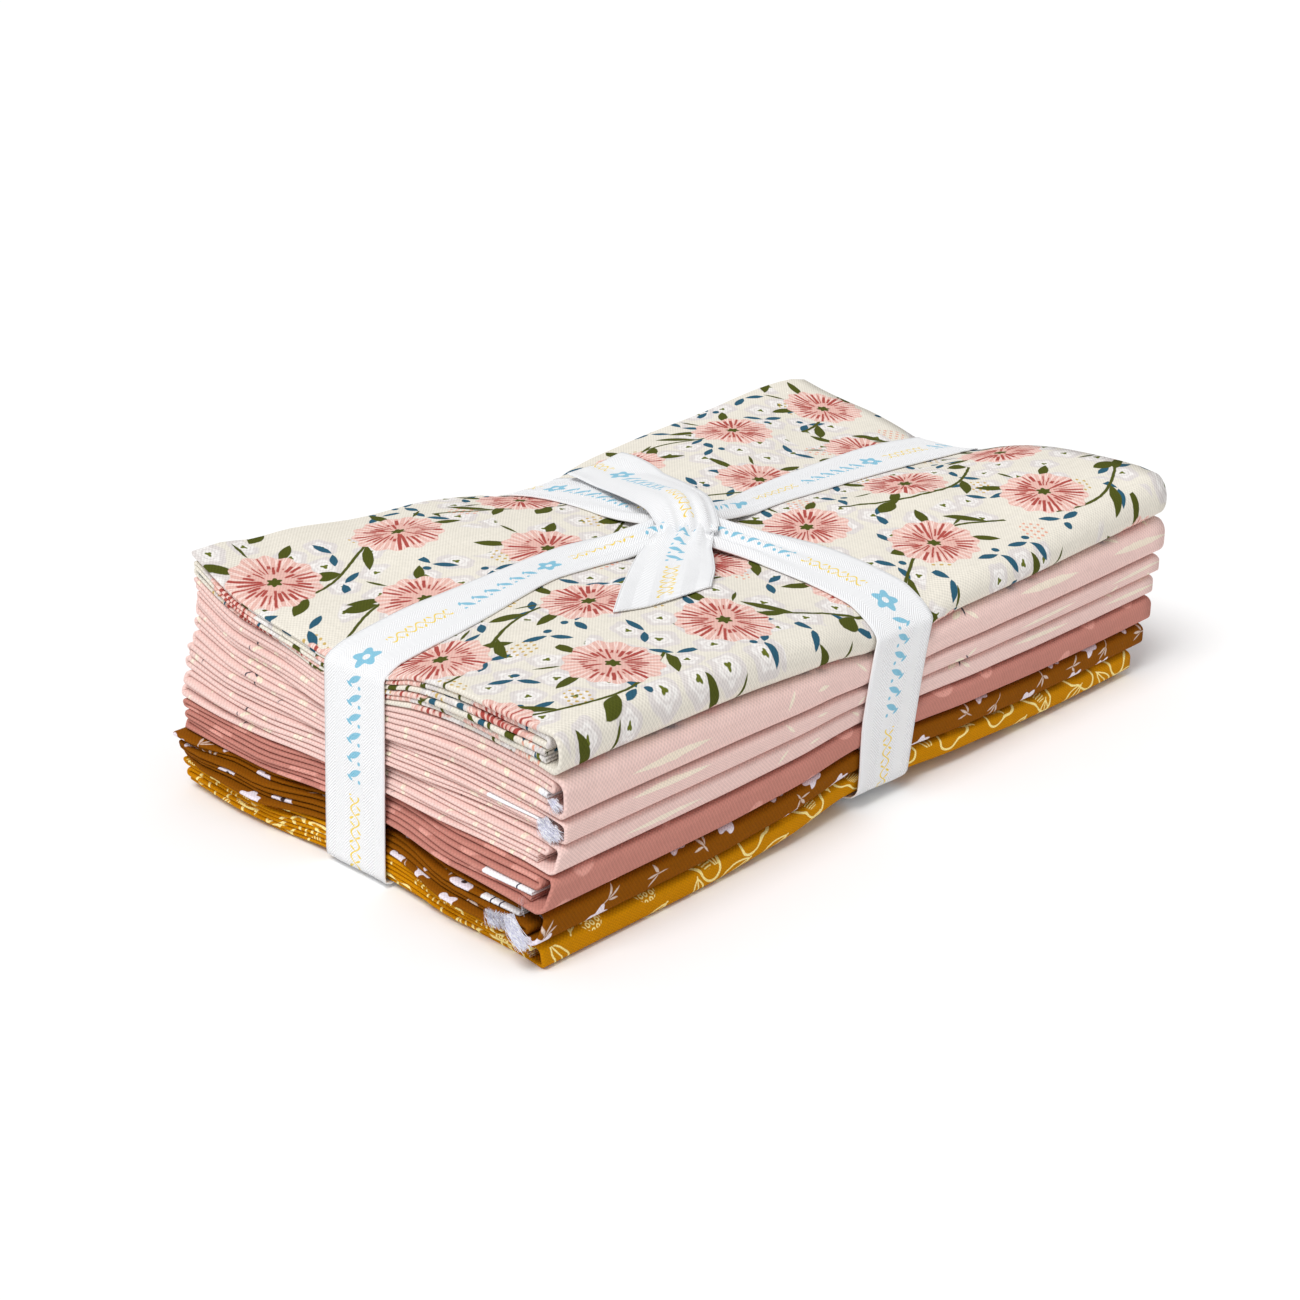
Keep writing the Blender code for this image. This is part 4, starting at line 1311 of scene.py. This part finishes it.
Strip = namedtuple("Strip", "middle across normal half_width rise")
ACROSS_STEPS = 16
ACROSS = np.linspace(-1, 1, ACROSS_STEPS + 1)
FREE_LIFT = 0.0006


def strip_mesh(name, strip, thickness, settled, phase, shear=0.0):
    """A thin closed strip. Its rise lifts it off its middle line, and shear moves it along itself.

    A settled strip is laid out flat, as the cloths are. Another one is kept on top of them.
    """
    middle = strip.middle[:, None, :]
    across = strip.across[:, None, :] * strip.half_width[:, None, None] * ACROSS[:, None]
    lift = strip.rise[:, :, None] * strip.normal[:, None, :]
    centre = middle + across + lift + shear
    if not settled:
        top = on_top(centre[:, :, 0], centre[:, :, 1])
        centre[:, :, 2] = np.maximum(centre[:, :, 2], top + FREE_LIFT)
    half = strip.normal[:, None, :] * thickness / 2
    sides = [centre + half, centre - half]
    if settled:
        sides = [settle(side.reshape(-1, 3)).reshape(side.shape) for side in sides]
    lengths = path_lengths(sides[0][:, ACROSS_STEPS // 2]) * 1000
    place = points_of(ACROSS * HALF_RIBBON * 1000, lengths[:, None], phase).reshape(-1, 3)
    points = np.concatenate([side.reshape(-1, 3) for side in sides])
    faces = closed_sheet_faces(len(strip.middle), ACROSS_STEPS + 1)
    obj = new_mesh(name, points, faces, "ribbon_place", np.concatenate([place, place]))
    return obj, float(lengths[-1]) / 1000


BAND_STEP = 0.0015
BAND_TOP_POINTS = 60
BAND_CORNER_STEPS = 8
KNOT_LIFT = 0.0026
KNOT_LIFT_REACH = 0.024
PLEAT_REACH = 0.040
BAND_PLEATS = 3.1
PLEATS_BESIDE = 0.6
GATHERED_BELOW = 0.026
RIPPLE = 0.00016
RIPPLE_TURNS = 150
ASKEW = 0.00035
ASKEW_TURNS = 42

# A band goes over the top from start, down one side, under, up the other side and back to end. Its
# corners are the radii at the first side's top and bottom, and at the other side's bottom and top.
# Gathered is how much narrower it gets low on its first side, and axes say which way it runs.
Loop = namedtuple(
    "Loop", "name half_length drop corners start end half_widths offset gathered axes phase"
)
LOOPS = (
    Loop("ribbon_round_ends", HALF_LENGTH, 0.0, (0.0018, 0.0014, 0.0012, 0.0012), -0.006, 0.004,
         END_BAND_HALF, BAND_OFFSET_Y, 0.0, (0, 1, 2), 27.0),
    Loop("ribbon_round_sides", HALF_WIDTH, CROSSING_DROP, (0.0045, 0.0026, 0.0018, 0.0018), -0.003,
         0.003, SIDE_BAND_HALF, 0.0, 0.0011, (1, 0, 2), 8.0),
)


def loop_path(loop):
    side = loop.half_length + RIBBON_LIFT
    top = STACK_HEIGHT + RIBBON_LIFT
    low = -RIBBON_LIFT - loop.drop
    first_top, first_low, last_low, last_top = loop.corners

    def corner(side_sign, height, radius, start):
        centre = (side_sign * (side - radius), height + radius * (1 if height < 0 else -1))
        return arc(centre, radius, start, start + 90, BAND_CORNER_STEPS)

    return np.concatenate([
        points_of(np.linspace(loop.start, -side + first_top, BAND_TOP_POINTS), top),
        corner(-1, top, first_top, 90),
        corner(-1, low, first_low, 180),
        corner(1, low, last_low, 270),
        corner(1, top, last_top, 0),
        points_of(np.linspace(side - last_top, loop.end, BAND_TOP_POINTS), top),
    ])


def round_band(loop, ribbon):
    """A band round the bundle, gathered, pleated and lifted where both its ends run into the knot."""
    path = resample(loop_path(loop), BAND_STEP)
    lengths = path_lengths(path)
    normals = path_normals(path)
    on_top_share = smooth((path[:, 1] - STACK_HEIGHT) / RIBBON_LIFT)
    half = mix(HALF_RIBBON, read_off(loop.half_widths, path[:, 0]), on_top_share)
    gathered = loop.gathered * fading(path[:, 1], GATHERED_BELOW) * (path[:, 0] < 0)
    near = np.minimum(lengths, lengths[-1] - lengths)
    lift = KNOT_LIFT * fading(near, KNOT_LIFT_REACH)
    pleat = ribbon.pleat * fading(near, PLEAT_REACH)[:, None]
    folds = 0.9 + np.cos(BAND_PLEATS * math.pi * ACROSS + PLEATS_BESIDE)
    rise = lift[:, None] + pleat * folds * (1 - ACROSS**4)
    ripple = RIPPLE * np.sin(lengths[:, None] * RIPPLE_TURNS + ACROSS * 2.0)
    rise = rise + ripple * (1 - ACROSS**2)
    beside = loop.offset + ASKEW * np.sin(lengths * ASKEW_TURNS) + gathered
    middle = points_of(path[:, 0], beside, path[:, 1])[:, loop.axes]
    across = points_of(np.zeros(len(path)), 1.0, 0.0)[:, loop.axes]
    normal = points_of(normals[:, 0], 0.0, normals[:, 1])[:, loop.axes]
    half = (half - gathered) * ribbon.width / RIBBON_WIDTH
    strip = Strip(middle, across, normal, half, rise)
    return strip_mesh(loop.name, strip, ribbon.ply, True, loop.phase)


CURVE_POINTS = 24


def smooth_curve(points, step):
    """A smooth curve through a few rows of numbers, the first three a place, at even steps."""
    points = np.asarray(points, float)
    padded = np.concatenate([2 * points[:1] - points[1:2], points, 2 * points[-1:] - points[-2:-1]])
    fine = []
    share = np.linspace(0, 1, CURVE_POINTS, endpoint=False)[:, None]
    for a, b, c, d in zip(padded, padded[1:], padded[2:], padded[3:]):
        fine.append(0.5 * (2 * b + (c - a) * share + (2 * a - 5 * b + 4 * c - d) * share**2
                           + (3 * b - a - 3 * c + d) * share**3))
    return resample(np.concatenate(fine + [points[-1:]]), step)


# The knot and the free ends. Lift is the height over the cloth's top, turn is the direction across
# the strip in degrees from X, and crown and pleat are how far its edges curl down and its folds rise.
Spot = namedtuple("Spot", "x y lift half_width turn crown pleat")
BACK_END = (
    Spot(0.0201, 0.0580, 0.0009, 0.0110, -16, 0.0000, 0.0000),
    Spot(0.0170, 0.0475, 0.0010, 0.0110, -17, 0.0000, 0.0000),
    Spot(0.0128, 0.0360, 0.0020, 0.0109, -20, 0.0004, 0.0001),
    Spot(0.0078, 0.0230, 0.0048, 0.0106, -23, 0.0012, 0.0002),
    Spot(0.0022, 0.0110, 0.0080, 0.0100, -25, 0.0024, 0.0003),
    Spot(-0.0022, 0.0030, 0.0094, 0.0092, -28, 0.0032, 0.0006),
    Spot(-0.0058, -0.0028, 0.0084, 0.0086, -32, 0.0034, 0.0009),
    Spot(-0.0082, -0.0064, 0.0060, 0.0080, -37, 0.0026, 0.0010),
    Spot(-0.0088, -0.0078, 0.0036, 0.0070, -41, 0.0014, 0.0006),
    Spot(-0.0065, -0.0062, 0.0022, 0.0056, -43, 0.0006, 0.0002),
    Spot(-0.0020, -0.0030, 0.0018, 0.0046, -43, 0.0000, 0.0000),
)
FRONT_END = (
    Spot(-0.0030, -0.0010, 0.0042, 0.0060, -44, 0.0012, 0.0006),
    Spot(-0.0082, -0.0050, 0.0052, 0.0072, -46, 0.0018, 0.0010),
    Spot(-0.0126, -0.0080, 0.0050, 0.0080, -50, 0.0018, 0.0008),
    Spot(-0.0168, -0.0104, 0.0040, 0.0088, -51, 0.0014, 0.0004),
    Spot(-0.0222, -0.0144, 0.0026, 0.0100, -51, 0.0008, 0.0001),
    Spot(-0.0300, -0.0205, 0.0014, 0.0108, -51, 0.0002, 0.0000),
    Spot(-0.0380, -0.0267, 0.0009, 0.0110, -51, 0.0000, 0.0000),
    Spot(-0.0450, -0.0322, 0.0008, 0.0110, -51, 0.0000, 0.0000),
)
FREE_STEP = 0.0008
FREE_PLEATS = 3.7

FreeEnd = namedtuple("FreeEnd", "name spots end_slant slant_reach cut_first phase")
FREE_ENDS = (
    FreeEnd("ribbon_knot_and_back_end", BACK_END, -0.0041, 0.020, True, 50.0),
    FreeEnd("ribbon_front_end", FRONT_END, -0.0104, 0.032, False, 9.0),
)


def free_strip(free, ribbon):
    """A free end of the ribbon, through a few given places, cut at a slant."""
    rows = []
    for spot in free.spots:
        top = on_top(np.array([spot.x]), np.array([spot.y]))[0]
        rows.append((spot.x, spot.y, top + spot.lift, *spot[3:]))
    curve = smooth_curve(rows, FREE_STEP)
    path, half, turn, crown, pleat = curve[:, :3], curve[:, 3], *curve[:, 4:].T
    tangent = path_tangents(path)
    turn = np.radians(turn)
    across = points_of(np.cos(turn), np.sin(turn), 0.0)
    across = unit(across - tangent * np.sum(across * tangent, axis=1)[:, None])
    normal = np.cross(across, tangent)
    if normal[0, 2] < 0:
        normal = -normal
    rise = -crown[:, None] * ACROSS**2 + pleat[:, None] * np.cos(FREE_PLEATS * math.pi * ACROSS)
    strip = Strip(path, across, normal, half * ribbon.width / RIBBON_WIDTH, rise)
    lengths = path_lengths(path)
    from_end = lengths if free.cut_first else lengths[-1] - lengths
    shear = free.end_slant * smooth(1 - from_end / free.slant_reach)
    shear = tangent[:, None, :] * shear[:, None, None] * ACROSS[:, None]
    return strip_mesh(free.name, strip, ribbon.ply, False, free.phase, shear)


MOTIF_REPEAT = 62.0
MOTIF_STEP = 4.6


def ribbon_motifs(finish, across, along, phase):
    """A blue border of leaves and dots with a flower, then a short yellow wavy vine, and again."""
    turn = (along + phase) / MOTIF_REPEAT
    place = (turn - turn.floor()) * MOTIF_REPEAT
    step = place / MOTIF_STEP
    beside = (step - step.floor() - 0.5) * MOTIF_STEP
    border = finish.most(
        finish.leaves(beside, across, (-0.3, -0.3, 62, 2.7, 0.78), (1.2, 1.6, 118, 1.2, 0.42)),
        finish.dot(beside - 1.5, across + 1.9, 0.48, 0.48),
    ) * finish.inside(abs(place - 23.0) - 13.8, 0.1)
    flower = finish.petals(place - 4.6, across, 3.1, 5, 0.24, 0.12)
    flower = flower * (1 - finish.dot(place - 4.6, across, 1.0, 1.0))
    wave = (place * 1.05).sine() * 1.5
    vine = finish.inside(abs(across - wave) - 0.30, SOFT_EDGE)
    berries = finish.dot(place.ping_pong(1.5) - 0.75, across + wave * 1.2, 0.5, 0.5)
    yellow = finish.most(vine, berries) * finish.inside(abs(place - 49.5) - 9.6, 0.1)
    return finish.most(border, flower), yellow


TWILL_COLUMN = 3.6
TWILL_RIDGE = 0.80
TWILL_DEPTH = 0.00020


def white_ribbon(ribbon):
    """White herringbone tape with its small repeated motifs."""
    finish = Finish("ribbon_twill", 0.15)
    across, along, phase = finish.place("ribbon_place")
    zigzag = (across + 3 * TWILL_COLUMN).ping_pong(TWILL_COLUMN)
    ridge = ((along + zigzag) * (2 * math.pi / TWILL_RIDGE)).sine()
    edge = finish.ramp(abs(across), 10.0, 10.6)
    cross = (across * (2 * math.pi / 0.55)).sine()
    height = ridge * (1 - edge) + cross * edge * 0.6
    # the twill's grooves are painted darker than its ridges: painted shade, over a soft random tone of
    # the tape
    tone = finish.noise(across, along, 9.0, 2.0, 1.0) * 0.03 + 0.966 + height * 0.10
    white = finish.darkened(tuple(ribbon.white), tone)
    worn = finish.noise(across, along, 0.5, 1.0, 6.0) * 0.3 + 0.82
    blue, yellow = ribbon_motifs(finish, across, along, phase)
    colour = finish.painted(
        white, (tuple(ribbon.blue), blue * worn), (tuple(ribbon.yellow), yellow * worn)
    )
    return finish.finish_with(colour, height * 0.05 + 0.60, height, TWILL_DEPTH)


# The studio


CAMERA_TARGET = (0.0283, 0.0440, 0.0)
SENSOR_WIDTH = 36.0
FLOOR_SIZE = 8.0
LAMP_PLACE = (-0.50, -0.08, 1.0)
PAPER_SHADE = (0.94, 0.94, 0.94)
PAPER_WHITE = (0.96, 0.96, 0.96)


def looking_from(name, data, place, away):
    """A camera or lamp at a place, which looks back along the direction away."""
    obj = bpy.data.objects.new(name, data)
    obj.location = place
    obj.rotation_euler = Vector(away).to_track_quat("Z", "Y").to_euler()
    bpy.context.scene.collection.objects.link(obj)
    return obj


def set_camera(stage):
    away = Vector((
        math.sin(stage.azimuth) * math.cos(stage.elevation),
        -math.cos(stage.azimuth) * math.cos(stage.elevation),
        math.sin(stage.elevation),
    ))
    data = bpy.data.cameras.new("camera")
    data.lens = stage.lens
    data.sensor_width = SENSOR_WIDTH
    data.clip_start = 0.01
    place = Vector(CAMERA_TARGET) + away * stage.distance
    bpy.context.scene.camera = looking_from("camera", data, place, away)


def set_floor():
    bpy.ops.mesh.primitive_plane_add(size=FLOOR_SIZE)
    floor = bpy.context.object
    floor.name = "studio_floor"
    finish = Finish("studio_paper")
    x, y, _ = finish.place("floor_place")
    grain = finish.noise(x, y, 1.0)
    finish.finish_with(finish.blend(PAPER_SHADE, PAPER_WHITE, grain), 0.9, grain, 0.0001)
    floor.data.materials.append(finish.material)


def set_light(stage):
    data = bpy.data.lights.new("key_lamp", "SUN")
    data.angle = stage.lamp_spread
    data.energy = stage.lamp_strength
    looking_from("key_lamp", data, LAMP_PLACE, LAMP_PLACE)
    world = bpy.data.worlds.new("studio_world")
    world.use_nodes = True
    sky = world.node_tree.nodes["Background"]
    sky.inputs["Color"].default_value = (1.0, 1.0, 1.0, 1.0)
    sky.inputs["Strength"].default_value = stage.sky
    bpy.context.scene.world = world
    bpy.context.scene.view_settings.view_transform = "Standard"


# The add-on


class BUNDLE_OT_fold_cloths(bpy.types.Operator):
    """Folds the seven printed cottons, one on another, with the frayed threads of their selvedges"""

    bl_idname = "bundle.fold_cloths"
    bl_label = "Fold the Cloths"

    def execute(self, context):
        settings = context.scene.bundle_cloth
        folded = {}
        for index, cloth in enumerate(CLOTHS):
            obj, flat = fold_cloth(index, cloth, settings.ply)
            dye = cloth.slot.replace("_cotton", "")
            ground = tuple(getattr(settings, dye))
            obj.data.materials.append(cotton(cloth.name + "_print", ground, PRINTS[dye], cloth))
            folded[cloth.name] = (obj, flat, [])
        threads = thread_finish()
        for number, tuft in enumerate(TUFTS):
            obj, cloth = fray_tuft(number, tuft, settings.strand)
            obj.data.materials.append(threads)
            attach(obj, "root")
            folded[cloth.name][2].append(obj)
        for cloth in CLOTHS:
            obj, flat, tufts = folded[cloth.name]
            declare(obj, [cloth.name])
        return {"FINISHED"}


class BUNDLE_OT_tie_ribbon(bpy.types.Operator):
    """Ties the ribbon round the ends and the sides, with its knot and its two free ends"""

    bl_idname = "bundle.tie_ribbon"
    bl_label = "Tie the Ribbon"

    def execute(self, context):
        top = bpy.data.objects.get("folded_cream")
        if top is None:
            raise RuntimeError("the ribbon needs the folded cloths: fold them first")
        ribbon = context.scene.bundle_ribbon
        twill = white_ribbon(ribbon)
        made = [round_band(loop, ribbon) for loop in LOOPS]
        made += [free_strip(free, ribbon) for free in FREE_ENDS]
        for obj, length in made:
            obj.data.materials.append(twill)
            declare(obj, ["ribbon"])
        return {"FINISHED"}


class BUNDLE_OT_set_stage(bpy.types.Operator):
    """Sets the pale floor, the soft lamp, the white surroundings and the camera"""

    bl_idname = "bundle.set_stage"
    bl_label = "Set the Stage"

    def execute(self, context):
        set_floor()
        set_light(context.scene.bundle_stage)
        set_camera(context.scene.bundle_stage)
        return {"FINISHED"}


class BUNDLE_PT_sidebar(bpy.types.Panel):
    """Lists the bundle's settings and its steps"""

    bl_label = "Fabric Bundle"
    bl_idname = "BUNDLE_PT_sidebar"
    bl_space_type = "VIEW_3D"
    bl_region_type = "UI"
    bl_category = "Bundle"

    def draw(self, context):
        for name, (_, operator) in STEPS.items():
            settings = getattr(context.scene, name)
            box = self.layout.box()
            for prop in settings.__annotations__:
                box.prop(settings, prop)
            box.operator(operator.bl_idname)


STEPS = {
    "bundle_cloth": (ClothSettings, BUNDLE_OT_fold_cloths),
    "bundle_ribbon": (RibbonSettings, BUNDLE_OT_tie_ribbon),
    "bundle_stage": (StageSettings, BUNDLE_OT_set_stage),
}
CLASSES = [each for step in STEPS.values() for each in step] + [BUNDLE_PT_sidebar]


def register():
    for each in CLASSES:
        bpy.utils.register_class(each)
    for name, (group, _) in STEPS.items():
        setattr(bpy.types.Scene, name, PointerProperty(type=group))


def unregister():
    for name in STEPS:
        delattr(bpy.types.Scene, name)
    for each in reversed(CLASSES):
        bpy.utils.unregister_class(each)


def main():
    register()
    bpy.ops.bundle.fold_cloths()
    bpy.ops.bundle.tie_ribbon()
    bpy.ops.bundle.set_stage()


if __name__ == "__main__":
    main()
